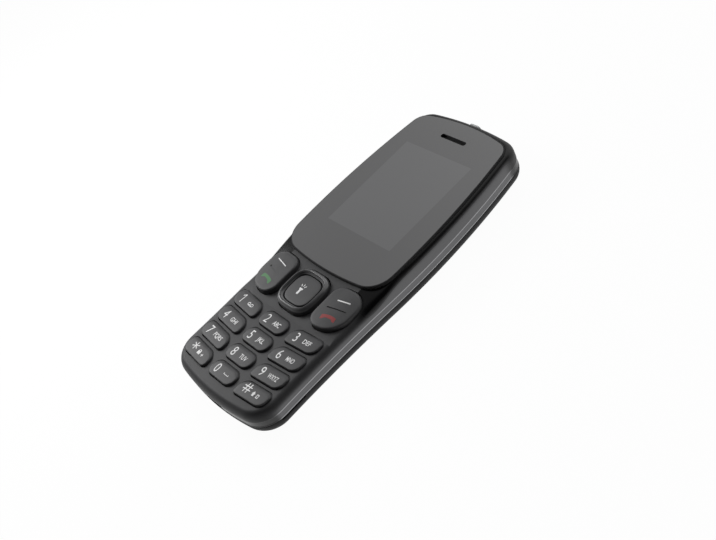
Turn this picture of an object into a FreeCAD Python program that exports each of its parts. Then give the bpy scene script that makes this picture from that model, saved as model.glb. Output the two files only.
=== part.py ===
# A bar mobile phone with a keypad, taken apart into its pieces.
# Millimetres. The phone lies on its back: origin under the middle of the back face,
# +Y towards the earpiece end, +X to the right of the person who reads it, +Z out of the display.
import FreeCAD, Part, Sketcher
import math
import os
from FreeCAD import Placement, Rotation, Vector

doc = FreeCAD.newDocument("mobile_phone")
sheet = doc.addObject("Spreadsheet::Sheet", "sizes")


class Size:
    """A length of the model: its formula on the sheet and its present number."""

    def __init__(self, text, number):
        self.text = text
        self.number = number

    def joined(self, sign, other, number):
        return Size(f"({self.text} {sign} {other.text})", number)

    def __add__(self, other):
        other = as_size(other)
        return self.joined("+", other, self.number + other.number)

    def __sub__(self, other):
        other = as_size(other)
        return self.joined("-", other, self.number - other.number)

    def __mul__(self, other):
        other = as_size(other)
        return self.joined("*", other, self.number * other.number)

    def __truediv__(self, other):
        other = as_size(other)
        return self.joined("/", other, self.number / other.number)

    def __radd__(self, other):
        return as_size(other) + self

    def __rsub__(self, other):
        return as_size(other) - self

    def __rmul__(self, other):
        return as_size(other) * self

    def __neg__(self):
        return self * -1


def as_size(thing):
    return thing if isinstance(thing, Size) else Size(f"{thing}", float(thing))


# Outline of the body, seen from the front. A size that ends in _up is a place above the lower end
# of the body, and one that ends in _down is a place below its upper end.
body_length = 112.8
bulge_half = 23.5
bulge_y = 10.5
bulge_radius = 256
waist_in = 1.5
waist_up = 19.9
bottom_bow = 90
top_bow = 110
bottom_corner = 8.5
top_corner = 6.5

# Levels of the shells above the back face
cover_top = 5.4
band_top = 7.7
keypad_level = 11.0
rim_level = 12.3
lens_level = 13.0

# Walls, rounds and clearances
front_wall = 1.3
cover_wall = 1.2
band_wall = 0.6
band_bevel = 0.25
chassis_wall = 1.0
floor_low = 5.8
floor_high = 6.6
front_round = 2.0
cover_round = 5.0
split_gap = 0.05
slip = 0.15
key_play = 0.3
drop_start_up = 58.4
drop_end_up = 45.4

# Display lens and the display behind it
lens_inset = 1.5
lens_bottom_up = 47.75
lens_top_down = 2.05
lens_bottom_bow = 110
lens_top_bow = 75
lens_bottom_corner = 8.0
lens_top_corner = 5.0
lens_thick = 1.1
glue_thick = 0.2
glue_width = 1.4
ledge_thick = 0.6
lens_play = 0.1
view_wide = 28.03
view_above_lens_end = 14.48
view_below_lens_top = 13.48
view_margin = 1.0
glass_margin = 3.0
glass_foot = 6.0
glass_thick = 1.35
tray_wall = 0.6
tray_floor = 0.3

# Keypad, from the function keys down to the last row
dish_level = 10.7
dish_half = 15.5
dish_corner_up = 44.4
dish_bottom_up = 30.45
dish_lens_gap = 0.45
key_level = 11.9
key_edge = 0.45
key_travel = 0.3
lip_wide = 0.4
lip_thick = 0.4
lip_gap = 0.1
mid_key_wide = 11.2
side_key_wide = 12.1
side_key_x = 13.55
side_key_rise = 0.45
side_key_tilt = 5.0
key_high = 5.2
key_pitch = 6.57
first_row_up = 26.95
mid_key_corner = 2.4
inner_top_corner = 3.2
inner_bottom_corner = 1.3
outer_top_corner = 1.6
outer_bottom_corner = 2.8
function_x = 14.85
function_up = 39.5
function_wide = 10.9
function_high = 14.4
function_tilt = 5.0
function_level = 12.7
function_edge = 0.9
function_corner = 4.4
function_lip = 0.3
function_groove = 0.35
rocker_room = 0.3
nav_up = 38.85
nav_wide = 14.8
nav_high = 14.2
nav_corner = 5.2
nav_rim = 1.9
nav_edge = 0.5
nav_lip = 0.5
select_play = 0.3
select_level = 12.4
select_edge = 0.4
carrier_thick = 0.2
carrier_gap = 0.25

# Main board and what lies between it and the keys
board_low = 7.1
board_thick = 0.8
dome_film = 0.15
dome_rise = 0.25
dome_radius = 2.0
mat_thick = 0.45
mat_lift = 0.3
mat_half = 19.8
mat_top_up = 47.0
mat_bottom_up = 4.6
mat_corner = 6.0
can_high = 1.2
can_gap = 4.0
can_part = 3.0
can_shift = -4.0
can_less = 8.0
flex_gap = 0.3
flex_thick = 0.4

# Battery bay
battery_wide = 34.4
battery_thick = 4.35
battery_sim_gap = 3.35
battery_speaker_gap = 2.2
battery_play = 0.3
bay_wall = 1.0
bay_edge = 1.5
contact_wide = 8.8
blade_step = 3.0
blade_wide = 0.8
blade_inset = 0.4

# Sockets, sound, light and the other inner pieces
jack_x = 9.2
jack_bore = 1.8
jack_wide = 6.4
jack_high = 5.0
jack_long = 12.0
jack_deep = 3.3
jack_mouth = 2.6
jack_floor = 0.5
usb_wide = 7.5
usb_high = 2.65
usb_long = 5.6
usb_wall = 0.3
usb_deep = 1.7
usb_tongue = 0.7
slot_wide = 10.4
slot_high = 1.5
slot_down = 8.75
mesh_thick = 0.3
receiver_wide = 11.0
receiver_high = 5.5
receiver_thick = 2.3
torch_z = 9.7
torch_wide = 5.0
torch_high = 3.0
torch_proud = 0.35
lamp_wide = 3.5
lamp_long = 2.2
lamp_high = 1.8
speaker_x = 8.8
speaker_up = 10.2
speaker_radius = 5.0
speaker_seal = 0.4
sound_step = 1.6
sound_wide = 0.7
voice_x = -6.0
voice_set_back = 3.45
voice_radius = 1.1
voice_high = 1.2
voice_hole = 0.4
camera_down = 15.4
camera_side = 6.8
camera_thick = 4.2
camera_eye = 2.2
camera_proud = 0.3
window_radius = 3.2
window_thick = 0.8
motor_down = 15.4
motor_radius = 1.9
motor_long = 8.0
motor_end = -6.5
weight_radius = 1.7
weight_long = 3.0
spindle_radius = 0.4
sim_wide = 14.5
sim_long = 12.5
sim_thick = 1.4
sim_gap = 1.2
sim_down = 31.8
sim_wall = 0.3
card_wide = 13.0
card_gap = 0.4
card_long = 5.6
screw_shank = 0.7
screw_head = 1.15
screw_head_high = 0.8
screw_long = 3.6
boss_radius = 1.25
screw_play = 0.1
top_screw_x = 17.6
top_screw_down = 8.8
mid_screw_x = 19.7
mid_screw_up = 50.9
low_screw_x = 13.0
low_screw_up = 3.25
aerial_left = -14.0
aerial_long = 6.3
aerial_high = 1.5
aerial_gap = 1.0
pry_top_up = 17.2
pry_bottom_up = 8.3
pry_high = 0.9
pry_deep = 0.9

# Each of these dimensions gets a row of the sheet, with its name as the alias
driving = [(alias, number) for alias, number in globals().items() if isinstance(number, (int, float))]
for row, (alias, number) in enumerate(driving, start=1):
    sheet.set(f"A{row}", alias)
    sheet.set(f"B{row}", f"{number}")
    sheet.setAlias(f"B{row}", alias)
    globals()[alias] = Size(f"sizes.{alias}", float(number))
doc.recompute()

# Places that follow from the driving dimensions
over = lens_level / 2
body_end = body_length / 2
waist_half = bulge_half - waist_in
waist_y = waist_up - body_end
drop_start = drop_start_up - body_end
drop_end = drop_end_up - body_end
lens_bottom = lens_bottom_up - body_end
lens_top = body_end - lens_top_down
view_high = lens_top - view_below_lens_top - lens_bottom - view_above_lens_end
view_y = lens_bottom + view_above_lens_end + view_high / 2
dish_corner_y = dish_corner_up - body_end
dish_bottom = dish_bottom_up - body_end
first_row_y = first_row_up - body_end
function_y = function_up - body_end
nav_y = nav_up - body_end
mat_top_y = mat_top_up - body_end
mat_bottom_y = mat_bottom_up - body_end
slot_y = body_end - slot_down
speaker_y = speaker_up - body_end
camera_y = body_end - camera_down
motor_y = body_end - motor_down
sim_y = body_end - sim_down
top_screw_y = body_end - top_screw_down
mid_screw_y = mid_screw_up - body_end
low_screw_y = low_screw_up - body_end
pry_top = pry_top_up - body_end
pry_bottom = pry_bottom_up - body_end
battery_top_y = sim_y - sim_long / 2 - battery_sim_gap
battery_bottom_y = speaker_y + speaker_radius + battery_speaker_gap
battery_long = battery_top_y - battery_bottom_y
battery_y = (battery_top_y + battery_bottom_y) / 2
head_low = cover_top + split_gap
head_top = head_low + screw_head_high
bulge_centre_x = bulge_half - bulge_radius
ledge_top = lens_level - lens_thick - glue_thick
ledge_low = ledge_top - ledge_thick
tray_top = ledge_low - split_gap
glass_low = tray_top - glass_thick
tray_low = glass_low - tray_floor
board_top = board_low + board_thick
board_inset = band_wall + chassis_wall + slip
wall_under = keypad_level - cover_wall
rocker_under = wall_under + rocker_room
lip_top = wall_under - lip_gap
lip_low = lip_top - lip_thick
mat_low = board_top + dome_film + mat_lift
mat_top = mat_low + mat_thick
select_low = mat_top + key_travel
carrier_low = mat_top + carrier_gap
carrier_top = carrier_low + carrier_thick
nav_lip_low = carrier_top + carrier_gap
nav_lip_top = nav_lip_low + carrier_thick
battery_top = floor_low - slip
battery_low = battery_top - battery_thick
jack_z = (cover_top + band_top) / 2
jack_face = body_end - jack_deep
usb_top = board_low
usb_low = usb_top - usb_high
usb_face = -body_end + usb_deep
camera_top = floor_low
camera_low = camera_top - camera_thick
motor_z = floor_low - motor_radius
tray_half = view_wide / 2 + glass_margin + tray_wall + slip
tray_up_y = view_y + view_high / 2 + glass_margin + tray_wall
tray_down_y = view_y - view_high / 2 - glass_foot - tray_wall


def bind(thing, name, size):
    thing.setExpression(name, as_size(size).text)


def new_body(label):
    body = doc.addObject("PartDesign::Body", label)
    body.Label = label
    return body


def new_sketch(body, name, height=0, role="XY_Plane"):
    """A sketch on one of the body's own origin planes, raised by height."""
    sketch = body.newObject("Sketcher::SketchObject", name)
    flat = [one for one in body.Origin.OriginFeatures if one.Role == role][0]
    sketch.AttachmentSupport = [(flat, "")]
    sketch.MapMode = "FlatFace"
    bind(sketch, "AttachmentOffset.Base.z", height)
    return sketch


def meet(sketch, *meetings):
    """Add constraints without a size, each a kind and the ends that it joins."""
    for kind, *ends in meetings:
        sketch.addConstraint(Sketcher.Constraint(kind, *ends))


def dimension(sketch, kind, *rest):
    """Add a constraint whose last item is a Size, and tie it to the sheet."""
    size = as_size(rest[-1])
    if kind in ("DistanceX", "DistanceY") and abs(size.number) < 1e-9:
        axis = -2 if kind == "DistanceX" else -1
        sketch.addConstraint(Sketcher.Constraint("PointOnObject", rest[2], rest[3], axis))
        return
    number = math.radians(size.number) if kind == "Angle" else size.number
    index = sketch.addConstraint(Sketcher.Constraint(kind, *rest[:-1], number))
    name = f"{kind.lower()}_{index}"
    sketch.renameConstraint(index, name)
    unit = " * 1 deg" if kind == "Angle" else ""
    sketch.setExpression(f"Constraints.{name}", size.text + unit)


def arc_between(centre, radius, start, end):
    """The arc from start to end, anticlockwise about centre."""
    first = math.atan2(start.y - centre.y, start.x - centre.x)
    last = math.atan2(end.y - centre.y, end.x - centre.x)
    if last < first:
        last += 2 * math.pi
    return Part.ArcOfCircle(Part.Circle(centre, Vector(0, 0, 1), radius), first, last)


def crossing(centre_a, radius_a, centre_b, radius_b, near):
    """Where two circles cross, nearest to a point."""
    apart = (centre_b - centre_a).Length
    along = (apart ** 2 + radius_a ** 2 - radius_b ** 2) / (2 * apart)
    aside = math.sqrt(max(radius_a ** 2 - along ** 2, 0))
    step = (centre_b - centre_a).normalize()
    turn = Vector(-step.y, step.x, 0)
    both = [centre_a + step * along + turn * aside, centre_a + step * along - turn * aside]
    return min(both, key=lambda point: (point - near).Length)


def toward(start, target, distance):
    return start + (target - start).normalize() * distance


def mirrored(point):
    return Vector(-point.x, point.y, 0)


def outline_sketch(body, name, height, inset=0):
    """The outline of the whole body, drawn in by inset: ten arcs, each tangent to the next."""
    sketch = new_sketch(body, name, height)
    inset = as_size(inset)
    draw_in = inset.number
    bulge = Vector(bulge_centre_x.number, bulge_y.number, 0)
    bulge_far = bulge_radius.number
    across = waist_half.number - bulge.x
    rise = bulge_y.number - waist_y.number
    waist_far = (rise ** 2 + across ** 2 - bulge_far ** 2) / (2 * (bulge_far - across))
    waist = Vector(waist_half.number + waist_far, waist_y.number, 0)
    bottom = Vector(0, bottom_bow.number - body_end.number, 0)
    top = Vector(0, body_end.number - top_bow.number, 0)
    low_round = bottom_corner.number - draw_in
    high_round = top_corner.number - draw_in
    low = crossing(bottom, bottom_bow.number - bottom_corner.number,
                   waist, waist_far + bottom_corner.number,
                   Vector(waist_half.number, -body_end.number, 0))
    high = crossing(top, top_bow.number - top_corner.number,
                    bulge, bulge_far - top_corner.number,
                    Vector(bulge_half.number, body_end.number, 0))
    low_end = toward(low, bottom, -low_round)
    low_side = toward(low, waist, low_round)
    change = toward(bulge, waist, bulge_far - draw_in)
    high_side = toward(high, bulge, -high_round)
    high_end = toward(high, top, -high_round)
    arcs = [
        arc_between(bottom, bottom_bow.number - draw_in, mirrored(low_end), low_end),
        arc_between(low, low_round, low_end, low_side),
        arc_between(waist, waist_far + draw_in, change, low_side),
        arc_between(bulge, bulge_far - draw_in, change, high_side),
        arc_between(high, high_round, high_side, high_end),
        arc_between(top, top_bow.number - draw_in, high_end, mirrored(high_end)),
        arc_between(mirrored(high), high_round, mirrored(high_end), mirrored(high_side)),
        arc_between(mirrored(bulge), bulge_far - draw_in, mirrored(high_side), mirrored(change)),
        arc_between(mirrored(waist), waist_far + draw_in, mirrored(low_side), mirrored(change)),
        arc_between(mirrored(low), low_round, mirrored(low_side), mirrored(low_end)),
    ]
    sketch.addGeometry(arcs, False)
    meetings = [(0, 2, 1, 1), (1, 2, 2, 2), (2, 1, 3, 1), (3, 2, 4, 1), (4, 2, 5, 1),
                (5, 2, 6, 1), (6, 2, 7, 1), (7, 2, 8, 2), (8, 1, 9, 1), (9, 2, 0, 1)]
    for meeting in meetings:
        sketch.addConstraint(Sketcher.Constraint("Tangent", *meeting))
    for arc, place, radius in ((0, bottom_bow - body_end, bottom_bow), (5, body_end - top_bow, top_bow)):
        sketch.addConstraint(Sketcher.Constraint("PointOnObject", arc, 3, -2))
        dimension(sketch, "DistanceY", -1, 1, arc, 3, place)
        dimension(sketch, "Radius", arc, radius - inset)
    for arc, side in ((3, 1), (7, -1)):
        dimension(sketch, "DistanceX", -1, 1, arc, 3, bulge_centre_x * side)
        dimension(sketch, "DistanceY", -1, 1, arc, 3, bulge_y)
        dimension(sketch, "Radius", arc, bulge_radius - inset)
    for arc, side in ((2, 1), (8, -1)):
        point = sketch.addGeometry(Part.Point(Vector(side * (waist_half.number - draw_in),
                                                     waist_y.number, 0)), True)
        dimension(sketch, "DistanceX", -1, 1, point, 1, (waist_half - inset) * side)
        dimension(sketch, "DistanceY", -1, 1, point, 1, waist_y)
        sketch.addConstraint(Sketcher.Constraint("PointOnObject", point, 1, arc))
        dimension(sketch, "DistanceY", -1, 1, arc, 3, waist_y)
    for arc, radius in ((1, bottom_corner), (9, bottom_corner), (4, top_corner), (6, top_corner)):
        dimension(sketch, "Radius", arc, radius - inset)
    return sketch


def lens_sketch(body, name, height, inset=0):
    """The shield outline of the display lens: six arcs, its sides parallel to the body's."""
    sketch = new_sketch(body, name, height)
    inset = as_size(inset)
    draw_in = inset.number
    side = Vector(bulge_centre_x.number, bulge_y.number, 0)
    side_far = bulge_radius.number - lens_inset.number
    bottom = Vector(0, lens_bottom.number + lens_bottom_bow.number, 0)
    top = Vector(0, lens_top.number - lens_top_bow.number, 0)
    low_round = lens_bottom_corner.number
    high_round = lens_top_corner.number
    low = crossing(bottom, lens_bottom_bow.number - low_round, side, side_far - low_round,
                   Vector(bulge_half.number, lens_bottom.number, 0))
    high = crossing(top, lens_top_bow.number - high_round, side, side_far - high_round,
                    Vector(bulge_half.number, lens_top.number, 0))
    low_end = toward(low, bottom, draw_in - low_round)
    low_side = toward(low, side, draw_in - low_round)
    high_side = toward(high, side, draw_in - high_round)
    high_end = toward(high, top, draw_in - high_round)
    arcs = [
        arc_between(bottom, lens_bottom_bow.number - draw_in, mirrored(low_end), low_end),
        arc_between(low, low_round - draw_in, low_end, low_side),
        arc_between(side, side_far - draw_in, low_side, high_side),
        arc_between(high, high_round - draw_in, high_side, high_end),
        arc_between(top, lens_top_bow.number - draw_in, high_end, mirrored(high_end)),
        arc_between(mirrored(high), high_round - draw_in, mirrored(high_end), mirrored(high_side)),
        arc_between(mirrored(side), side_far - draw_in, mirrored(high_side), mirrored(low_side)),
        arc_between(mirrored(low), low_round - draw_in, mirrored(low_side), mirrored(low_end)),
    ]
    sketch.addGeometry(arcs, False)
    for arc in range(len(arcs)):
        following = (arc + 1) % len(arcs)
        sketch.addConstraint(Sketcher.Constraint("Tangent", arc, 2, following, 1))
    ends = ((0, lens_bottom + lens_bottom_bow, lens_bottom_bow), (4, lens_top - lens_top_bow, lens_top_bow))
    for arc, place, radius in ends:
        sketch.addConstraint(Sketcher.Constraint("PointOnObject", arc, 3, -2))
        dimension(sketch, "DistanceY", -1, 1, arc, 3, place)
        dimension(sketch, "Radius", arc, radius - inset)
    for arc, sign in ((2, 1), (6, -1)):
        dimension(sketch, "DistanceX", -1, 1, arc, 3, bulge_centre_x * sign)
        dimension(sketch, "DistanceY", -1, 1, arc, 3, bulge_y)
        dimension(sketch, "Radius", arc, bulge_radius - lens_inset - inset)
    corners = ((1, lens_bottom_corner), (7, lens_bottom_corner), (3, lens_top_corner), (5, lens_top_corner))
    for arc, radius in corners:
        dimension(sketch, "Radius", arc, radius - inset)
    return sketch


def plate_sketch(body, name, height, centre, wide, high, corners, tilt=0):
    """A four-sided plate with upright sides and a round at each corner.

    The corners run anticlockwise from the lower right. The tilt turns the two long
    edges, in degrees, and leaves the sides upright.
    """
    sketch = new_sketch(body, name, height)
    centre_x, centre_y = as_size(centre[0]), as_size(centre[1])
    tilt = as_size(tilt)
    lean = math.radians(tilt.number)
    half_wide, half_high = as_size(wide) / 2, as_size(high) / 2
    rounds = [as_size(corner) for corner in corners]
    middle = Vector(centre_x.number, centre_y.number, 0)
    signs = [(1, -1), (1, 1), (-1, 1), (-1, -1)]
    spreads = [(lean - math.pi / 2, 0), (0, lean + math.pi / 2),
               (lean + math.pi / 2, math.pi), (math.pi, lean + 1.5 * math.pi)]
    arcs = []
    for (right, up), (start, end), radius in zip(signs, spreads, rounds):
        across = right * (half_wide.number - radius.number)
        along = (up * (half_high.number - radius.number) + across * math.sin(lean)) / math.cos(lean)
        circle = Part.Circle(middle + Vector(across, along, 0), Vector(0, 0, 1), radius.number)
        arcs.append(Part.ArcOfCircle(circle, start, end))
    sketch.addGeometry(arcs, False)
    for corner in range(4):
        following = (corner + 1) % 4
        line = Part.LineSegment(arcs[corner].EndPoint, arcs[following].StartPoint)
        sketch.addGeometry(line, False)
        sketch.addConstraint(Sketcher.Constraint("Tangent", corner, 2, 4 + corner, 1))
        sketch.addConstraint(Sketcher.Constraint("Tangent", 4 + corner, 2, following, 1))
    right_line, top_line, left_line, bottom_line = 4, 5, 6, 7
    for line in (right_line, left_line):
        sketch.addConstraint(Sketcher.Constraint("Vertical", line))
    if abs(lean) < 1e-9:
        sketch.addConstraint(Sketcher.Constraint("Horizontal", bottom_line))
        sketch.addConstraint(Sketcher.Constraint("Horizontal", top_line))
    else:
        dimension(sketch, "Angle", bottom_line, tilt)
        sketch.addConstraint(Sketcher.Constraint("Parallel", bottom_line, top_line))
    point = sketch.addGeometry(Part.Point(middle), True)
    dimension(sketch, "DistanceX", -1, 1, point, 1, centre_x)
    dimension(sketch, "DistanceY", -1, 1, point, 1, centre_y)
    for line, half in ((right_line, half_wide), (left_line, half_wide),
                       (top_line, half_high), (bottom_line, half_high)):
        dimension(sketch, "Distance", point, 1, line, half)
    for arc, radius in enumerate(rounds):
        dimension(sketch, "Radius", arc, radius)
    return sketch


def pad(body, sketch, length):
    feature = body.newObject("PartDesign::Pad", f"{sketch.Name}_pad")
    feature.Profile = sketch
    bind(feature, "Length", length)
    return feature


def pocket_down(body, sketch, depth):
    """Cut downwards from the sketch, into the body."""
    feature = body.newObject("PartDesign::Pocket", f"{sketch.Name}_pocket")
    feature.Profile = sketch
    bind(feature, "Length", depth)
    return feature


def fillet(body, base, radius, wanted):
    """Round the edges of base that wanted picks, on the body."""
    doc.recompute()
    names = [f"Edge{index + 1}" for index, edge in enumerate(base.Shape.Edges) if wanted(edge)]
    feature = body.newObject("PartDesign::Fillet", f"{base.Name}_round")
    feature.Base = (base, names)
    bind(feature, "Radius", radius)
    return feature


def lies_at(height):
    """A test for edges that lie flat at one height."""
    level = as_size(height).number
    return lambda edge: abs(edge.BoundBox.ZMin - level) < 1e-4 and edge.BoundBox.ZLength < 1e-4


def block(name, x_span, y_span, z_span):
    """A box from its low and high side along each axis."""
    box = doc.addObject("Part::Box", name)
    for side, axis, (low, high) in zip(("Length", "Width", "Height"), "xyz", (x_span, y_span, z_span)):
        bind(box, side, as_size(high) - as_size(low))
        bind(box, f"Placement.Base.{axis}", low)
    return box


TURNS = {
    "x": Rotation(Vector(0, 1, 0), 90),
    "y": Rotation(Vector(1, 0, 0), -90),
    "z": Rotation(),
}


def rod(name, radius, start, length, axis="z"):
    """A round bar from its start point along an axis."""
    bar = doc.addObject("Part::Cylinder", name)
    bar.Placement = Placement(Vector(), TURNS[axis])
    bind(bar, "Radius", radius)
    bind(bar, "Height", length)
    for letter, place in zip("xyz", start):
        bind(bar, f"Placement.Base.{letter}", place)
    return bar


def joined(name, pieces):
    group = doc.addObject("Part::MultiFuse", name)
    group.Shapes = pieces
    return group


def grouped(name, pieces):
    group = doc.addObject("Part::Compound", name)
    group.Links = pieces
    return group


def cut(name, base, tools):
    """Base less its tools."""
    result = doc.addObject("Part::Cut", name)
    result.Base = base
    result.Tool = tools[0] if len(tools) == 1 else joined(f"{name}_tools", tools)
    return result


def around(middle, whole):
    """The low and high side of a span centred on middle."""
    return (as_size(middle) - as_size(whole) / 2, as_size(middle) + as_size(whole) / 2)


nodes = {}


def keep(name, thing):
    """Give a finished piece its name."""
    thing.Label = name
    nodes[name] = thing


screw_places = [(x * side, y) for x, y in ((top_screw_x, top_screw_y), (mid_screw_x, mid_screw_y),
                                           (low_screw_x, low_screw_y)) for side in (1, -1)]

# Places of the keys: name, centre, width, tilt, corner rounds from the lower right
key_names = [["key_1", "key_2", "key_3"], ["key_4", "key_5", "key_6"],
             ["key_7", "key_8", "key_9"], ["key_star", "key_0", "key_hash"]]
number_keys = []
for row, names in enumerate(key_names):
    row_y = first_row_y - key_pitch * row
    for side, name in zip((-1, 0, 1), names):
        if side == 0:
            number_keys.append((name, (as_size(0), row_y), mid_key_wide, as_size(0), [mid_key_corner] * 4))
        else:
            right = [outer_bottom_corner, outer_top_corner, inner_top_corner, inner_bottom_corner]
            left = [inner_bottom_corner, inner_top_corner, outer_top_corner, outer_bottom_corner]
            number_keys.append((name, (side_key_x * side, row_y + side_key_rise), side_key_wide,
                                side_key_tilt * side, right if side > 0 else left))

# Front housing: the moulded front shell, with the ledge for the lens and the key openings
front = new_body("front_shell")
outline = outline_sketch(front, "front_outline", band_top)
front_block = pad(front, outline, rim_level - band_top)
profile = new_sketch(front, "front_profile", 0, "YZ_Plane")
drop = rim_level.number - keypad_level.number
reach = drop_start.number - drop_end.number
swing = (reach ** 2 + drop ** 2) / (4 * drop)
half_turn = math.asin(reach / 2 / swing)
crest = Vector(drop_start.number, rim_level.number - swing, 0)
trough = Vector(drop_end.number, keypad_level.number + swing, 0)
change = (crest + trough) * 0.5
crest_top = Vector(drop_start.number, rim_level.number, 0)
trough_low = Vector(drop_end.number, keypad_level.number, 0)
far_end = -(body_end.number + over.number)
sky = lens_level.number + over.number
profile.addGeometry([
    arc_between(crest, swing, crest_top, change),
    arc_between(trough, swing, trough_low, change),
    Part.LineSegment(trough_low, Vector(far_end, keypad_level.number, 0)),
    Part.LineSegment(Vector(far_end, keypad_level.number, 0), Vector(far_end, sky, 0)),
    Part.LineSegment(Vector(far_end, sky, 0), Vector(drop_start.number, sky, 0)),
    Part.LineSegment(Vector(drop_start.number, sky, 0), crest_top),
], False)
meet(profile, ("Tangent", 0, 2, 1, 2), ("Tangent", 1, 1, 2, 1), ("Horizontal", 2), ("Vertical", 3),
     ("Horizontal", 4), ("Vertical", 5), ("Coincident", 2, 2, 3, 1), ("Coincident", 3, 2, 4, 1),
     ("Coincident", 4, 2, 5, 1), ("Coincident", 5, 2, 0, 1), ("Vertical", 0, 3, 0, 1), ("Equal", 0, 1))
dimension(profile, "DistanceX", -1, 1, 0, 1, drop_start)
dimension(profile, "DistanceY", -1, 1, 0, 1, rim_level)
dimension(profile, "DistanceX", -1, 1, 1, 1, drop_end)
dimension(profile, "DistanceY", -1, 1, 1, 1, keypad_level)
dimension(profile, "DistanceX", -1, 1, 3, 1, -(body_end + over))
dimension(profile, "DistanceY", -1, 1, 3, 2, lens_level + over)
slope = front.newObject("PartDesign::Pocket", "front_profile_pocket")
slope.Profile = profile
slope.Type = "ThroughAll"
slope.SideType = "Symmetric"


def front_edge(edge):
    """An edge round the top of the front, but not one that runs across it."""
    box = edge.BoundBox
    across = box.XLength > bulge_half.number and box.YLength < 1e-3
    return box.ZMin > keypad_level.number - 1e-3 and not across


fillet(front, slope, front_round, front_edge)
pad(front, lens_sketch(front, "lens_plinth", band_top), ledge_top - band_top)

dish = new_sketch(front, "dish_top", lens_level)
dish_centre = Vector(0, lens_bottom.number + lens_bottom_bow.number, 0)
dish_far = lens_bottom_bow.number + dish_lens_gap.number
shoulder_y = dish_centre.y - math.sqrt(dish_far ** 2 - dish_half.number ** 2)
dish_left = Vector(-dish_half.number, shoulder_y, 0)
dish_right = Vector(dish_half.number, shoulder_y, 0)
dish_low_left = Vector(-dish_half.number, dish_bottom.number, 0)
dish_low_right = Vector(dish_half.number, dish_bottom.number, 0)
dish.addGeometry([
    arc_between(dish_centre, dish_far, dish_left, dish_right),
    Part.LineSegment(dish_right, dish_low_right),
    Part.LineSegment(dish_low_right, dish_low_left),
    Part.LineSegment(dish_low_left, dish_left),
], False)
meet(dish, ("Coincident", 0, 2, 1, 1), ("Coincident", 1, 2, 2, 1), ("Coincident", 2, 2, 3, 1),
     ("Coincident", 3, 2, 0, 1), ("Vertical", 1), ("Horizontal", 2), ("Vertical", 3),
     ("PointOnObject", 0, 3, -2))
dimension(dish, "DistanceY", -1, 1, 0, 3, lens_bottom + lens_bottom_bow)
dimension(dish, "Radius", 0, lens_bottom_bow + dish_lens_gap)
dimension(dish, "DistanceX", -1, 1, 1, 1, dish_half)
dimension(dish, "DistanceX", -1, 1, 3, 1, -dish_half)
dimension(dish, "DistanceY", -1, 1, 2, 1, dish_bottom)
pocket_down(front, dish, lens_level - dish_level)
wide_dish = plate_sketch(front, "dish_wide", lens_level, (0, (dish_corner_y + dish_bottom) / 2),
                         bulge_half * 2 + over, dish_corner_y - dish_bottom, [split_gap] * 4)
pocket_down(front, wide_dish, lens_level - dish_level)
seat = lens_sketch(front, "lens_seat", lens_level, -lens_play)
pocket_down(front, seat, lens_level - ledge_top)
view = plate_sketch(front, "view_window", ledge_top, (0, view_y), view_wide + view_margin * 2,
                    view_high + view_margin * 2, [view_margin] * 4)
pocket_down(front, view, ledge_thick * 2)
grille = plate_sketch(front, "earpiece_opening", ledge_top, (0, slot_y), slot_wide - mesh_thick * 2,
                      slot_high - mesh_thick * 2, [(slot_high - mesh_thick * 2) / 2 - split_gap] * 4)
pocket_down(front, grille, ledge_thick * 2)
inside = outline_sketch(front, "front_inside", wall_under, front_wall)
pocket_down(front, inside, wall_under - band_top)
rocker_half = function_x + function_wide / 2 + function_lip + slip
rocker_top_y = function_y + function_high / 2 + function_lip + slip
rocker_low_y = nav_y - nav_high / 2 - nav_lip - slip
rocker_room_cut = plate_sketch(front, "rocker_room_cut", rocker_under, (0, (rocker_top_y + rocker_low_y) / 2),
                               rocker_half * 2, rocker_top_y - rocker_low_y, [function_lip] * 4)
pocket_down(front, rocker_room_cut, rocker_under - band_top)
tray_room = plate_sketch(front, "tray_room", ledge_low, (0, (tray_up_y + tray_down_y) / 2),
                         (tray_half + slip) * 2, tray_up_y - tray_down_y + slip * 2, [slip] * 4)
pocket_down(front, tray_room, ledge_low - band_top)
receiver_room = plate_sketch(front, "receiver_room", ledge_low, (0, slot_y), receiver_wide + slip * 2,
                             receiver_high + slip * 2, [slip] * 4)
pocket_down(front, receiver_room, ledge_low - band_top)


def key_opening(name, centre, wide, high, corners, tilt):
    sketch = plate_sketch(front, f"opening_{name}", lens_level, centre, wide + key_play * 2,
                          high + key_play * 2, [corner + key_play for corner in corners], tilt)
    pocket_down(front, sketch, lens_level - wall_under)


for name, centre, wide, tilt, corners in number_keys:
    key_opening(name, centre, wide, key_high, corners, tilt)
for side, name in ((-1, "left"), (1, "right")):
    key_opening(f"{name}_function", (function_x * side, function_y), function_wide, function_high,
                [function_corner] * 4, function_tilt * side)
key_opening("nav", (as_size(0), nav_y), nav_wide, nav_high, [nav_corner] * 4, 0)


def at_screws(name, radius, low, high):
    """A round bar at each screw."""
    return [rod(f"{name}_{index}", radius, (x, y, low), as_size(high) - low)
            for index, (x, y) in enumerate(screw_places)]


def jack_way(name):
    return rod(f"{name}_jack_way", jack_mouth, (jack_x, jack_face, jack_z), jack_deep + over, "y")


def usb_way(name):
    return block(f"{name}_usb_way", around(0, usb_wide + slip * 2),
                 (usb_face - over, usb_face + usb_long + slip), (usb_low - slip, usb_top + slip))


def torch_shape(name, grow, y_low, y_high):
    """A bar of the torch lens's section, two rounds and the flat between them."""
    straight = torch_wide - torch_high
    middle = block(f"{name}_middle", around(0, straight), (y_low, y_high),
                   around(torch_z, torch_high + grow * 2))
    rounds = [rod(f"{name}_end_{index}", torch_high / 2 + grow, (straight / 2 * side, y_low, torch_z),
                  as_size(y_high) - y_low, "y") for index, side in enumerate((-1, 1))]
    return joined(name, [middle] + rounds)


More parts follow.
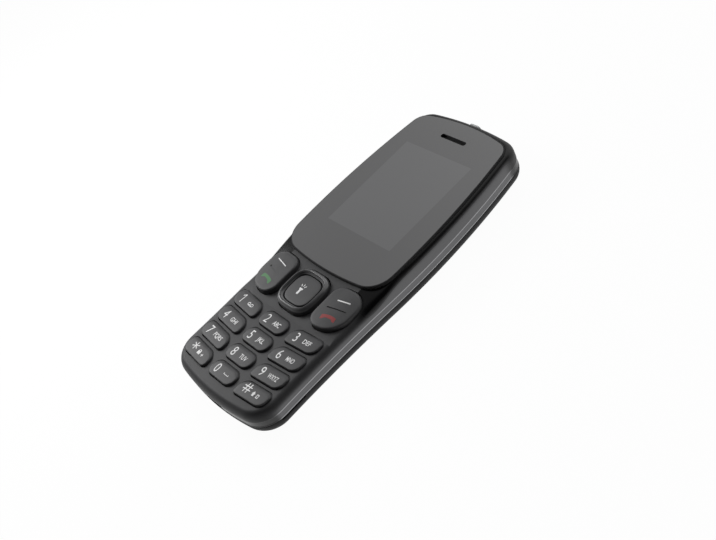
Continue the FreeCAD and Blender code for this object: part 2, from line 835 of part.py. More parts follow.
front_bosses = at_screws("front_boss", boss_radius, board_top, wall_under + slip)
front_joined = joined("front_with_bosses", [front] + front_bosses)
front_ways = at_screws("front_pilot", screw_shank + split_gap, band_top - slip, floor_low + screw_long + slip)
front_ways.append(jack_way("front"))
front_ways.append(torch_shape("torch_way", slip, body_end - front_wall * 2, body_end + over))
front_ways.append(rod("microphone_way", voice_hole, (voice_x, -body_end - over, board_top + voice_high / 2),
                      over + front_wall * 2, "y"))
keep("front_housing", cut("front_housing", front_joined, front_ways))

# Display lens, the glue under it and the mesh in its earpiece slot
lens_low = ledge_top + glue_thick
lens = new_body("display_lens")
lens_pad = pad(lens, lens_sketch(lens, "lens_outline", lens_low), lens_thick)
fillet(lens, lens_pad, lens_play * 2, lies_at(lens_level))
lens_slot = plate_sketch(lens, "lens_slot", lens_level + slip, (0, slot_y), slot_wide, slot_high,
                         [slot_high / 2 - split_gap] * 4)
pocket_down(lens, lens_slot, lens_thick + slip * 2)
keep("display_lens", lens)

glue = new_body("lens_adhesive")
pad(glue, lens_sketch(glue, "glue_outside", ledge_top, lens_play), glue_thick)
glue_inside = lens_sketch(glue, "glue_inside", lens_low + slip, lens_play + glue_width)
pocket_down(glue, glue_inside, glue_thick + slip * 2)
keep("lens_adhesive", glue)

mesh = new_body("earpiece_mesh")
pad(mesh, plate_sketch(mesh, "mesh_outline", ledge_top, (0, slot_y), slot_wide - lens_play * 2,
                       slot_high - lens_play * 2, [slot_high / 2 - lens_play - split_gap] * 4), mesh_thick)
keep("earpiece_mesh", mesh)

# Display: the glass in its pressed tray, and the film cable to the board
tray_outer = block("tray_outer", around(0, tray_half * 2), (tray_down_y, tray_up_y), (tray_low, tray_top))
tray_inner = block("tray_inner", around(0, (tray_half - tray_wall) * 2),
                   (tray_down_y + tray_wall, tray_up_y - tray_wall), (glass_low, tray_top + over))
keep("lcd_frame", cut("lcd_frame", tray_outer, [tray_inner]))
keep("lcd_glass", block("lcd_glass", around(0, (tray_half - tray_wall - split_gap) * 2),
                        (tray_down_y + tray_wall + split_gap, tray_up_y - tray_wall - split_gap),
                        (glass_low, tray_top)))
flex_y = tray_down_y - flex_gap
keep("lcd_flex", block("lcd_flex", around(0, tray_half), (flex_y - flex_thick, flex_y),
                       (board_top, wall_under - slip)))

# Number keys: hard caps whose lips keep them behind the front wall
def key_cap(name, centre, wide, high, corners, tilt, lip, top, edge):
    body = new_body(name)
    pad(body, plate_sketch(body, f"{name}_lip", lip_low, centre, wide + lip * 2, high + lip * 2,
                           [corner + lip for corner in corners], tilt), lip_thick)
    cap = pad(body, plate_sketch(body, f"{name}_cap", lip_low, centre, wide, high, corners, tilt),
              top - lip_low)
    fillet(body, cap, edge, lies_at(top))
    keep(name, body)
    return body


for name, centre, wide, tilt, corners in number_keys:
    key_cap(name, centre, wide, key_high, corners, tilt, lip_wide, key_level, key_edge)

# Function keys: one rocking cap each side, with a soft key above and a call key below
for side, name in ((-1, "left_function_key"), (1, "right_function_key")):
    rocker = key_cap(name, (function_x * side, function_y), function_wide, function_high,
                     [function_corner] * 4, function_tilt * side, function_lip, function_level, function_edge)
    groove = plate_sketch(rocker, f"{name}_groove", function_level, (function_x * side, function_y),
                          function_wide - function_corner, function_groove, [function_groove / 4] * 4,
                          function_tilt * side)
    pocket_down(rocker, groove, function_groove)

# Navigation ring on its rocking carrier, with the select key in the middle
opening_wide = nav_wide - nav_rim * 2
opening_high = nav_high - nav_rim * 2
opening_corner = nav_corner - nav_rim
nav_centre = (as_size(0), nav_y)
ring = new_body("nav_ring")
pad(ring, plate_sketch(ring, "ring_lip", nav_lip_low, nav_centre, nav_wide + nav_lip * 2,
                       nav_high + nav_lip * 2, [nav_corner + nav_lip] * 4), carrier_thick)
ring_wall = pad(ring, plate_sketch(ring, "ring_wall", nav_lip_low, nav_centre, nav_wide, nav_high,
                                   [nav_corner] * 4), lens_level - nav_lip_low)
fillet(ring, ring_wall, nav_edge, lies_at(lens_level))
ring_hole = pocket_down(ring, plate_sketch(ring, "ring_hole", lens_level + slip, nav_centre, opening_wide,
                                           opening_high, [opening_corner] * 4), over)


def in_ring_opening(edge):
    """An edge inside the rim of the navigation ring."""
    span_x = max(abs(edge.BoundBox.XMin), abs(edge.BoundBox.XMax))
    span_y = max(abs(edge.BoundBox.YMin - nav_y.number), abs(edge.BoundBox.YMax - nav_y.number))
    return span_x < opening_wide.number / 2 + 1e-3 and span_y < opening_high.number / 2 + 1e-3


doc.recompute()
slant = ring.newObject("PartDesign::Chamfer", "ring_slant")
slant.Base = (ring_hole, [f"Edge{index + 1}" for index, edge in enumerate(ring_hole.Shape.Edges)
                          if lies_at(lens_level)(edge) and in_ring_opening(edge)])
bind(slant, "Size", nav_rim / 2)
keep("nav_ring", ring)

carrier = new_body("nav_carrier")
pad(carrier, plate_sketch(carrier, "carrier_outside", carrier_low, nav_centre, nav_wide + nav_lip * 2,
                          nav_high + nav_lip * 2, [nav_corner + nav_lip] * 4), carrier_thick)
pocket_down(carrier, plate_sketch(carrier, "carrier_inside", carrier_top + slip, nav_centre, opening_wide,
                                  opening_high, [opening_corner] * 4), carrier_thick + slip * 2)
keep("nav_carrier", carrier)

select = new_body("nav_center_key")
select_pad = pad(select, plate_sketch(select, "select_outline", select_low, nav_centre,
                                      opening_wide - select_play * 2, opening_high - select_play * 2,
                                      [opening_corner - select_play] * 4), select_level - select_low)
fillet(select, select_pad, select_edge, lies_at(select_level))
keep("nav_center_key", select)

# Keypad mat, dome sheet and main board
mat_middle = (as_size(0), (mat_bottom_y + mat_top_y) / 2)
mat_high = mat_top_y - mat_bottom_y
mat = new_body("keypad_mat")
pad(mat, plate_sketch(mat, "mat_outside", mat_low - mat_lift, mat_middle, mat_half * 2, mat_high,
                      [mat_corner] * 4), mat_top - mat_low + mat_lift)
pocket_down(mat, plate_sketch(mat, "mat_hollow", mat_low, mat_middle, (mat_half - mat_thick) * 2,
                              mat_high - mat_thick * 2, [mat_corner - mat_thick] * 4), mat_lift)
keep("keypad_mat", mat)

dome_places = [centre for name, centre, wide, tilt, corners in number_keys]
dome_places += [(function_x * side, function_y + function_high / 4 * up)
                for side in (-1, 1) for up in (-1, 1)]
nav_dome_x = (nav_wide - nav_rim) / 2 - dome_radius / 4
nav_dome_y = (nav_high - nav_rim) / 2 - dome_radius / 4
dome_places += [nav_centre, (nav_dome_x, nav_y), (-nav_dome_x, nav_y),
                (as_size(0), nav_y + nav_dome_y), (as_size(0), nav_y - nav_dome_y)]
film = new_body("dome_film_sheet")
pad(film, plate_sketch(film, "film_outline", board_top, mat_middle, mat_half * 2, mat_high,
                       [mat_corner] * 4), dome_film)
domes = [rod(f"dome_{index}", dome_radius, (x, y, board_top), dome_film + dome_rise)
         for index, (x, y) in enumerate(dome_places)]
keep("dome_sheet", joined("dome_sheet", [film] + domes))

board = new_body("board_blank")
pad(board, outline_sketch(board, "board_outline", board_low, board_inset), board_thick)
board_cuts = at_screws("board_hole", screw_shank + screw_play, board_low - slip, board_top + slip)
board_cuts.append(block("board_jack_gap", around(jack_x, jack_wide + slip * 2),
                        (jack_face - jack_long - slip, body_end), (board_low - slip, board_top + slip)))
keep("main_board", cut("main_board", board, board_cuts))

can_span = (board_top, board_top + can_high)
can_low = block("can_lower", around(0, view_wide), (tray_down_y + can_gap, view_y - can_part), can_span)
can_up = block("can_upper", around(can_shift, view_wide - can_less), (view_y, tray_up_y - can_gap), can_span)
keep("shield_cans", grouped("shield_cans", [can_low, can_up]))

# Rear housing: the chassis floor between board and battery, with the battery bay under it
chassis_out = band_wall + split_gap
chassis_in = band_wall + chassis_wall
chassis = new_body("chassis")
pad(chassis, outline_sketch(chassis, "chassis_outline", cover_top, chassis_out), band_top - cover_top)
pocket_down(chassis, outline_sketch(chassis, "chassis_upper", band_top + slip, chassis_in),
            band_top + slip - floor_high)
pocket_down(chassis, outline_sketch(chassis, "chassis_lower", floor_low, chassis_in), floor_low - cover_top)
bay_x = battery_wide / 2 + battery_play
bay_top_y = battery_y + battery_long / 2 + battery_play
bay_bottom_y = battery_y - battery_long / 2 - battery_play
bay_low = battery_low + bay_edge
bay_outer = block("bay_outer", around(0, (bay_x + bay_wall) * 2),
                  (bay_bottom_y - bay_wall, bay_top_y + bay_wall), (bay_low, floor_low + slip))
bay_inner = block("bay_inner", around(0, bay_x * 2), (bay_bottom_y, bay_top_y), (bay_low - slip, floor_low))
bay = cut("bay", bay_outer, [bay_inner])
rear_bosses = at_screws("rear_boss", boss_radius, floor_low, board_low)
rear_joined = joined("rear_with_bay", [chassis, bay] + rear_bosses)
rear_cuts = at_screws("rear_hole", screw_shank + screw_play, floor_low - slip, band_top + slip)
rear_cuts += at_screws("rear_sink", screw_head + screw_play, cover_top - slip, head_top)
rear_cuts.append(block("contact_gap", around(0, contact_wide),
                       (bay_top_y - slip, bay_top_y + bay_wall + slip), (bay_low - slip, floor_low)))
rear_cuts.append(jack_way("rear"))
rear_cuts.append(usb_way("rear"))
rear_cuts.append(block("rear_jack_gap", around(jack_x, jack_wide + slip * 2),
                       (jack_face - jack_long - slip, jack_face + slip), (cover_top - slip, band_top + slip)))
keep("rear_housing", cut("rear_housing", rear_joined, rear_cuts))

# Side band: the trim ring between the front housing and the rear cover
band = new_body("band_ring")
band_pad = pad(band, outline_sketch(band, "band_outside", cover_top, 0), band_top - cover_top)
doc.recompute()
bevel = band.newObject("PartDesign::Chamfer", "band_bevels")
bevel.Base = (band_pad, [f"Edge{index + 1}" for index, edge in enumerate(band_pad.Shape.Edges)
                         if edge.BoundBox.ZLength < 1e-4])
bind(bevel, "Size", band_bevel)
pocket_down(band, outline_sketch(band, "band_inside", band_top + slip, band_wall), over)
keep("side_band", cut("side_band", band, [jack_way("band"), usb_way("band")]))

# Rear cover: the snap-on back, with the camera hole, sound slots and a notch to pry it off
shell_high = cover_top - split_gap
shell = new_body("cover_blank")
shell_pad = pad(shell, outline_sketch(shell, "cover_outline", 0, 0), shell_high)
fillet(shell, shell_pad, cover_round, lies_at(0))
hollow = new_body("cover_hollow")
hollow_pad = pad(hollow, outline_sketch(hollow, "cover_inner_outline", cover_wall, cover_wall), over)
fillet(hollow, hollow_pad, cover_round - cover_wall, lies_at(cover_wall))
sound_slots = [block(f"sound_slot_{index + 2}", around(speaker_x, speaker_radius),
                     around(speaker_y + sound_step * index, sound_wide), (-slip, cover_wall + slip))
               for index in range(-2, 3)]
pry = block("pry_notch", (waist_half - pry_deep, bulge_half + over), (pry_bottom, pry_top),
            (shell_high - pry_high, shell_high + slip))
camera_hole = rod("camera_hole", window_radius + split_gap, (0, camera_y, -slip), cover_wall + slip * 2)
keep("rear_cover", cut("rear_cover", shell, [hollow, pry, camera_hole, jack_way("cover"), usb_way("cover")]
                       + sound_slots))
keep("camera_window", rod("camera_window", window_radius, (0, camera_y, slip), window_thick))

# Battery, its contacts and the card holders under the chassis floor
battery = new_body("battery")
battery_pad = pad(battery, plate_sketch(battery, "battery_outline", battery_low, (0, battery_y), battery_wide,
                                        battery_long, [bay_edge] * 4), battery_thick)
fillet(battery, battery_pad, bay_edge / 2, lambda edge: edge.BoundBox.ZLength < 1e-4)
keep("battery", battery)
contact_block = block("contact_block", around(0, contact_wide - slip * 2),
                      (bay_top_y + slip, bay_top_y + bay_wall * 2), (bay_low, floor_low))
blades = [block(f"contact_blade_{index + 1}", around(blade_step * index, blade_wide),
                (bay_top_y - slip, bay_top_y + slip), (bay_low + blade_inset, floor_low - blade_inset))
          for index in (-1, 0, 1)]
keep("battery_contacts", joined("battery_contacts", [contact_block] + blades))


def card_shell(name, x, y, wide, long):
    """A pressed holder, open at the end towards the battery."""
    outer = block(f"{name}_outer", around(x, wide), around(y, long), (floor_low - sim_thick, floor_low))
    inner = block(f"{name}_inner", around(x, wide - sim_wall * 4),
                  (y - long / 2 - slip, y + long / 2 - sim_wall * 2),
                  (floor_low - sim_thick + sim_wall, floor_low - sim_wall))
    return cut(name, outer, [inner])


sims = [card_shell(f"sim_{index}", (sim_wide / 2 + sim_gap) * side, sim_y, sim_wide, sim_long)
        for index, side in enumerate((-1, 1))]
keep("sim_holders", grouped("sim_holders", sims))
card_y = sim_y + sim_long / 2 + card_long / 2 + card_gap
keep("memory_card_holder", card_shell("memory_card_holder", as_size(0), card_y, card_wide, card_long))

# Sockets
jack_block = block("jack_block", around(jack_x, jack_wide), (jack_face - jack_long, jack_face),
                   around(jack_z, jack_high))
jack_hole = rod("jack_hole", jack_bore, (jack_x, jack_face - jack_long + jack_floor, jack_z), jack_long, "y")
keep("audio_jack", cut("audio_jack", jack_block, [jack_hole]))
usb_span_y = (usb_face, usb_face + usb_long)
usb_outer = block("usb_outer", around(0, usb_wide), usb_span_y, (usb_low, usb_top))
usb_inner = block("usb_inner", around(0, usb_wide - usb_wall * 2),
                  (usb_face - slip, usb_face + usb_long - usb_wall * 2),
                  (usb_low + usb_wall, usb_top - usb_wall))
usb_blade = block("usb_blade", around(0, usb_wide / 2),
                  (usb_face + usb_tongue, usb_face + usb_long - usb_wall),
                  around((usb_low + usb_top) / 2, usb_tongue))
usb_shell = cut("usb_shell", usb_outer, [usb_inner])
keep("usb_socket", joined("usb_socket", [usb_shell, usb_blade]))

# Sound: earpiece, loudspeaker with its seal, and microphone
receiver_high_side = ledge_low - split_gap
keep("receiver", block("receiver", around(0, receiver_wide), around(slot_y, receiver_high),
                       (receiver_high_side - receiver_thick, receiver_high_side)))
seal_low = cover_wall + split_gap * 2
seal_top = seal_low + speaker_seal
keep("loudspeaker", rod("loudspeaker", speaker_radius, (speaker_x, speaker_y, seal_top),
                        floor_low - seal_top))
seal_outer = rod("seal_outer", speaker_radius, (speaker_x, speaker_y, seal_low), speaker_seal)
seal_inner = rod("seal_inner", speaker_radius - speaker_seal * 2,
                 (speaker_x, speaker_y, seal_low - slip), over)
keep("speaker_gasket", cut("speaker_gasket", seal_outer, [seal_inner]))
keep("microphone", rod("microphone", voice_radius, (voice_x, voice_set_back - body_end, board_top),
                       voice_high))

# Torch: the lamp on the board and its clear lens in the top end
lamp_front = body_end - front_wall * 2 - slip
keep("torch_led", block("torch_led", around(0, lamp_wide), (lamp_front - lamp_long, lamp_front),
                        (board_top, board_top + lamp_high)))
keep("torch_lens", torch_shape("torch_lens", 0, lamp_front + slip, body_end + torch_proud))

# Camera behind the rear cover
camera_box = block("camera_box", around(0, camera_side), around(camera_y, camera_side),
                   (camera_low, camera_top))
camera_barrel = rod("camera_barrel", camera_eye, (0, camera_y, camera_low - camera_proud), camera_thick)
keep("camera_module", joined("camera_module", [camera_box, camera_barrel]))

# Vibration motor with its half-round weight
motor_start = motor_end - motor_long
motor_body = rod("motor_body", motor_radius, (motor_start, motor_y, motor_z), motor_long, "x")
motor_bore = rod("motor_bore", spindle_radius + split_gap, (motor_start - slip, motor_y, motor_z),
                 motor_long / 2, "x")
keep("vibration_motor", cut("vibration_motor", motor_body, [motor_bore]))
weight_start = motor_start - slip - weight_long
weight_disc = rod("weight_disc", weight_radius, (weight_start, motor_y, motor_z), weight_long, "x")
weight_gap = block("weight_gap", (weight_start - slip, motor_start), around(motor_y, weight_radius * 3),
                   (motor_z, motor_z + over))
weight_half = cut("weight_half", weight_disc, [weight_gap])
spindle = rod("spindle", spindle_radius, (weight_start, motor_y, motor_z), weight_long + motor_long / 3, "x")
keep("motor_weight", joined("motor_weight", [weight_half, spindle]))

# Antenna carrier at the top end and the screws that hold the two housings together
aerial_top = jack_face - split_gap * 6
keep("antenna", block("antenna", (aerial_left, jack_x - jack_wide / 2 - aerial_gap),
                      (aerial_top - aerial_long, aerial_top), (floor_low - aerial_high, floor_low)))
heads = at_screws("screw_head_part", screw_head, head_low, head_top)
shanks = at_screws("screw_shank_part", screw_shank, head_low + screw_head_high / 2, floor_low + screw_long)
keep("housing_screws", grouped("housing_screws", [joined(f"screw_{index}", pair)
                                                  for index, pair in enumerate(zip(heads, shanks))]))

doc.recompute()
faults = [thing.Name for thing in doc.Objects if "Invalid" in thing.State or "Error" in thing.State]
if faults:
    raise SystemExit(f"failed objects: {faults}")
for name, thing in nodes.items():
    if thing.Shape.isNull() or not thing.Shape.isValid() or not thing.Shape.Solids:
        raise SystemExit(f"{name} has no valid solid")
os.makedirs("parts", exist_ok=True)
for name, thing in nodes.items():
    thing.Shape.exportStep(f"parts/{name}.step")
    print(name, len(thing.Shape.Solids), round(thing.Shape.Volume, 2))
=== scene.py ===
"""A bar mobile phone with a keypad, dressed piece by piece in the order of its assembly."""
import math
from functools import partial

import bmesh
import bpy
from mathutils import Matrix, Vector


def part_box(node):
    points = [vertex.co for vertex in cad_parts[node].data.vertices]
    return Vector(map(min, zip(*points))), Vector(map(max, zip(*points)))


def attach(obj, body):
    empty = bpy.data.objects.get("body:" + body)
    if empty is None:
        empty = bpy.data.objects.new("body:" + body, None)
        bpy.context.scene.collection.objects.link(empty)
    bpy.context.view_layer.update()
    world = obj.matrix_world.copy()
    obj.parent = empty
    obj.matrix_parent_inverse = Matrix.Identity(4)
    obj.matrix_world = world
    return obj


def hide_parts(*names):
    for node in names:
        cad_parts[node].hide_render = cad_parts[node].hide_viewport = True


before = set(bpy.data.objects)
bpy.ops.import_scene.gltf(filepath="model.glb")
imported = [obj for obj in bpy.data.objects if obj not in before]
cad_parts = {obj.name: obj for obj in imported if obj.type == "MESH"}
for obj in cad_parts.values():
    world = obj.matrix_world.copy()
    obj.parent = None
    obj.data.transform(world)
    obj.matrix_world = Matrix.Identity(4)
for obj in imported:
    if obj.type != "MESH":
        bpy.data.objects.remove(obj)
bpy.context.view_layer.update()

# Rear housing: the black chassis between the board and the battery, injection moulded in glass-filled
# nylon. The mould's spark-eroded walls leave an even fine grain, a little shinier where it is rubbed.
MM = 0.001


def give(tree, socket, value):
    """Link an output, or a list of outputs, to an input, or set the input to a plain value."""
    if isinstance(value, Value):
        value = value.socket
    if isinstance(value, (list, bpy.types.NodeSocket)):
        for output in value if isinstance(value, list) else [value]:
            tree.links.new(output, socket)
    elif isinstance(value, tuple) and socket.type == "RGBA":
        socket.default_value = (*value, 1)
    else:
        socket.default_value = value


def add_node(tree, kind, settings=None, sockets=None):
    """Add a node with its settings and what its inputs are given, and return its outputs."""
    made = tree.nodes.new(kind)
    for name, setting in (settings or {}).items():
        setattr(made, name, setting)
    for name, value in (sockets or {}).items():
        give(tree, made.inputs[name], value)
    return made.outputs


def reckon(tree, operation, *operands):
    """The output of a Math node."""
    return add_node(tree, "ShaderNodeMath", {"operation": operation}, dict(enumerate(operands)))[0]


class Value:
    """One output of a material's nodes; arithmetic on it adds Math nodes."""

    def __init__(self, finish, socket):
        self.finish = finish
        self.socket = socket

    def math(self, operation, *operands):
        return Value(self.finish, reckon(self.finish.tree, operation, *operands))

    def __add__(self, other):
        return self.math("ADD", self, other)

    def __sub__(self, other):
        return self.math("SUBTRACT", self, other)

    def __rsub__(self, other):
        return self.math("SUBTRACT", other, self)

    def __mul__(self, other):
        return self.math("MULTIPLY", self, other)

    def __abs__(self):
        return self.math("ABSOLUTE", self)

    __radd__ = __add__
    __rmul__ = __mul__

    def step(self, low, high):
        """0 below low, 1 above high, and a smooth rise between them."""
        settings = {"interpolation_type": "SMOOTHSTEP"}
        if low < high:
            return self.finish.node("ShaderNodeMapRange", settings,
                                    {"Value": self, "From Min": low, "From Max": high})
        return 1 - self.step(high, low)


class Finish:
    """One material: its shader and the nodes that vary it over the surface, in millimetres."""

    def __init__(self, name, color, roughness, **sockets):
        self.material = bpy.data.materials.new(name)
        self.material.use_nodes = True
        self.tree = self.material.node_tree
        self.shader = self.tree.nodes["Principled BSDF"]
        self.set("Base Color", color)
        self.set("Roughness", roughness)
        for socket, value in sockets.items():
            self.set(socket.replace("_", " "), value)
        place = self.node("ShaderNodeTexCoord", {}, {}, "Object")
        self.place = self.node("ShaderNodeVectorMath", {"operation": "SCALE"},
                               {0: place, "Scale": 1 / MM})
        self.x, self.y, self.z = (self.node("ShaderNodeSeparateXYZ", {}, {0: self.place}, axis)
                                  for axis in "XYZ")
        self.relief = None

    def node(self, kind, settings, sockets, output=0):
        return Value(self, add_node(self.tree, kind, settings, sockets)[output])

    def set(self, socket, value):
        give(self.tree, self.shader.inputs[socket], value)

    def noise(self, size, detail=2.0, stretch=None):
        """Noise from 0 to 1 whose blots are about size across, or drawn out along an axis."""
        place = self.place
        if stretch:
            place = self.node("ShaderNodeVectorMath", {"operation": "MULTIPLY"},
                              {0: place, 1: stretch})
        return self.node("ShaderNodeTexNoise", {},
                         {"Vector": place, "Scale": 1 / size, "Detail": detail})

    def mix(self, share, first, second):
        """The first colour where share is 0, the second where it is 1."""
        return self.node("ShaderNodeMix", {"data_type": "RGBA"}, {0: share, 6: first, 7: second}, 2)

    def raise_by(self, height, depth):
        """Add a relief: height from 0 to 1 stands for depth in millimetres."""
        sockets = {"Height": height, "Distance": depth * MM, "Strength": 1.0}
        if self.relief:
            sockets["Normal"] = self.relief
        self.relief = self.node("ShaderNodeBump", {}, sockets)
        self.set("Normal", self.relief)


def moulded(name, color, roughness, grain, depth, wear=0.06, **sockets):
    """Moulded plastic: a fine grain, and slow changes of tone and shine."""
    finish = Finish(name, color, roughness, **sockets)
    fine = finish.noise(grain)
    slow = finish.noise(grain * 60)
    paler = tuple(channel * 1.18 + 0.002 for channel in color)
    finish.set("Base Color", finish.mix(slow.step(0.35, 0.7) * 0.7 + fine * 0.3, color, paler))
    finish.set("Roughness", roughness - wear / 2 + slow * wear + fine * wear * 0.5)
    finish.raise_by(fine, depth)
    return finish


chassis_nylon = moulded("chassis_nylon", (0.017, 0.017, 0.018), 0.52, 0.09, 0.012)


def put(name, data):
    """Make an object of some data and put it in the scene."""
    thing = bpy.data.objects.new(name, data)
    bpy.context.scene.collection.objects.link(thing)
    return thing


def form_of(mesh):
    """A form to work on, made from a mesh."""
    form = bmesh.new()
    form.from_mesh(mesh)
    return form


def mesh_of(name, form):
    """The mesh of a finished form, which is used up."""
    mesh = bpy.data.meshes.new(name)
    form.to_mesh(mesh)
    form.free()
    return mesh


def piece(name, form, finish, body, stands_for=(), angle=30):
    """Make an object of a finished form: smooth, but sharp at edges over the angle."""
    mesh = mesh_of(name, form)
    mesh.polygons.foreach_set("use_smooth", [True] * len(mesh.polygons))
    mesh.set_sharp_from_angle(angle=math.radians(angle))
    mesh.materials.append(finish.material)
    thing = put(name, mesh)
    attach(thing, body)
    if stands_for:
        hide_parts(*stands_for)
    return thing


WELD = 0.001 * MM


def recast(node, name, finish, body):
    """A CAD solid shown with its triangles joined up and its round faces smooth."""
    form = form_of(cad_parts[node].data)
    bmesh.ops.remove_doubles(form, verts=form.verts, dist=2 * WELD)
    bmesh.ops.dissolve_degenerate(form, edges=form.edges, dist=WELD)
    return piece(name, form, finish, body, (node,), 25)


recast("rear_housing", "chassis_moulding", chassis_nylon, "housing")

# Main board: a fibreglass board with a green solder mask, cut to the chassis. Its bare edge shows the
# straw colour of the glass weave.
solder_mask = Finish("solder_mask", (0.012, 0.085, 0.035), 0.28, Coat_Weight=0.4)
weave = solder_mask.noise(0.35, 1.0, (1, 3, 1))
board_low, board_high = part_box("main_board")
board_face = solder_mask.z.step(board_high.z / MM - 0.06, board_high.z / MM - 0.03)
under_face = solder_mask.z.step(board_low.z / MM + 0.06, board_low.z / MM + 0.03)
solder_mask.set("Base Color", solder_mask.mix(board_face + under_face, (0.42, 0.36, 0.16),
                                              (0.012, 0.085, 0.035)))
solder_mask.raise_by(weave, 0.004)


def carry(finish, *nodes):
    """Keep CAD pieces and give them their finish."""
    for thing in (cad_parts[node] for node in nodes):
        if not thing.material_slots:
            thing.data.materials.append(None)
        for slot in thing.material_slots:
            slot.link = "OBJECT"
            slot.material = finish.material


carry(solder_mask, "main_board")

# Shield cans, card holders and the two sound capsules: pressed in tinned steel sheet. The roll leaves
# long fine lines along the sheet, and the tin dulls in patches.
tinned_steel = Finish("tinned_steel", (0.52, 0.52, 0.53), 0.34, Metallic=1.0)
rolled = tinned_steel.noise(0.12, 3.0, (0.06, 1, 1))
dull = tinned_steel.noise(3.5, 3.0)
tinned_steel.set("Base Color", tinned_steel.mix(dull, (0.40, 0.40, 0.41), (0.60, 0.60, 0.61)))
tinned_steel.set("Roughness", 0.24 + rolled * 0.14 + dull * 0.12)
tinned_steel.raise_by(rolled, 0.003)
carry(tinned_steel, "shield_cans", "sim_holders", "memory_card_holder", "receiver", "lcd_frame")
recast("microphone", "microphone_can", tinned_steel, "housing")

# Dome sheet and keypad mat: steel snap domes under an amber film, and over them one soft skin of grey
# silicone that the keys stand on.
silicone = moulded("grey_silicone", (0.055, 0.055, 0.058), 0.62, 0.2, 0.006, Sheen_Weight=0.25)
carry(silicone, "keypad_mat", "nav_carrier")
recast("dome_sheet", "snap_domes", tinned_steel, "housing")

# Display: a glass panel in its pressed tray, dark while it is off. An amber film cable with printed
# tracks joins it to the board.
panel_glass = Finish("panel_glass", (0.012, 0.012, 0.014), 0.08, Coat_Weight=0.6)
smear = panel_glass.noise(14.0, 3.0)
panel_glass.set("Roughness", 0.05 + smear * 0.08)
carry(panel_glass, "lcd_glass")
amber_film = Finish("amber_film", (0.36, 0.14, 0.02), 0.3, Coat_Weight=0.3)
tracks = amber_film.noise(0.3, 0.0, (1, 0.05, 0.05)).step(0.48, 0.52)
amber_film.set("Base Color", amber_film.mix(tracks, (0.36, 0.14, 0.02), (0.5, 0.24, 0.05)))
carry(amber_film, "lcd_flex")

# Front housing: the matt grey front moulding. One curve leads from the raised rim round the display
# down to the keypad, the shoulders beside it fall away to the sides, and a shallow dish takes the
# navigation keys.
BODY_END, BODY_HALF, SPLIT, KEYPAD, RIM = 56.4, 23.5, 7.7, 11.0, 12.3
FRONT_ROUND, FRONT_DROP = 2.0, 2.7
# The side's two arcs, each its centre and its radius: the bulge beside the display, and the waist.
BULGE_Y, BULGE_RADIUS, WAIST_Y, WAIST_HALF = 10.5, 256.0, -36.5, 22.0
BULGE = (BODY_HALF - BULGE_RADIUS, BULGE_Y, BULGE_RADIUS)
rise, across = BULGE_Y - WAIST_Y, WAIST_HALF - BULGE[0]
waist_radius = (rise ** 2 + across ** 2 - BULGE_RADIUS ** 2) / (2 * (BULGE_RADIUS - across))
WAIST = (WAIST_HALF + waist_radius, WAIST_Y, -waist_radius)


def crossing(first, first_radius, second, second_radius, near):
    """Where two circles cross, nearest to a point."""
    apart = second - first
    along = (apart.length_squared + first_radius ** 2 - second_radius ** 2) / (2 * apart.length)
    aside = math.sqrt(max(first_radius ** 2 - along ** 2, 0))
    middle = first + apart.normalized() * along
    turn = Vector((-apart.y, apart.x)).normalized() * aside
    return min((middle + turn, middle - turn), key=lambda point: (point - near).length)


def outline(low_y, low_bow, low_corner, sides, high_corner, high_bow, high_y, counts):
    """The points of a closed outline of tangent arcs, mirrored about x = 0, with outward normals.

    Each side is (centre x, centre y, radius), its radius negative where the side is hollow.
    It runs anticlockwise from the middle of the lower end.
    """
    low = Vector((0, low_y + low_bow))
    high = Vector((0, high_y - high_bow))
    first, last, aside = sides[0], sides[-1], 25
    low_centre = crossing(low, low_bow - low_corner, Vector(first[:2]),
                          abs(first[2] - low_corner), Vector((aside, low_y)))
    high_centre = crossing(high, high_bow - high_corner, Vector(last[:2]),
                           abs(last[2] - high_corner), Vector((aside, high_y)))
    arcs = [(low, low_bow), (low_centre, low_corner)]
    arcs += [(Vector(side[:2]), side[2]) for side in sides]
    arcs += [(high_centre, high_corner), (high, high_bow)]
    bearings = [-math.pi / 2]
    for (centre, radius), (following, following_radius) in zip(arcs, arcs[1:]):
        normal = (following - centre) / (radius - following_radius)
        bearings.append(math.atan2(normal.y, normal.x))
    bearings.append(math.pi / 2)
    half = []
    for (centre, radius), start, end, count in zip(arcs, bearings, bearings[1:], counts):
        for step in range(count):
            bearing = start + (end - start) * step / count
            normal = Vector((math.cos(bearing), math.sin(bearing)))
            half.append((centre + normal * radius, normal))
    half[0] = (Vector((0, low_y)), Vector((0, -1)))
    other = [(Vector((-point.x, point.y)), Vector((-normal.x, normal.y)))
             for point, normal in reversed(half[1:])]
    return half + [(Vector((0, high_y)), Vector((0, 1)))] + other


body_rim = outline(-BODY_END, 90.0, 8.5, [WAIST, BULGE], 6.5, 110.0, BODY_END,
                   [10, 16, 24, 44, 14, 12])


def ring(rim, inset, height):
    """The outline drawn in by inset, in metres; height is a number or a function of x and y."""
    level = height if callable(height) else lambda x, y: height
    places = [point - normal * inset for point, normal in rim]
    return [Vector((*place, level(*place))) * MM for place in places]


def skin(form, rings):
    """Join a stack of equal rings, lowest first, with quads, and return their vertices."""
    rows = [[form.verts.new(point) for point in loop] for loop in rings]
    for lower, upper in zip(rows, rows[1:]):
        for here in range(len(lower)):
            after = (here + 1) % len(lower)
            form.faces.new((lower[here], lower[after], upper[after], upper[here]))
    return rows


def capped(rings, form=None):
    """Close a stack of rings at both ends, in a new form or as one more solid of a form."""
    form = form or bmesh.new()
    rows = skin(form, rings)
    form.faces.new(rows[0][::-1])
    form.faces.new(rows[-1])
    return form


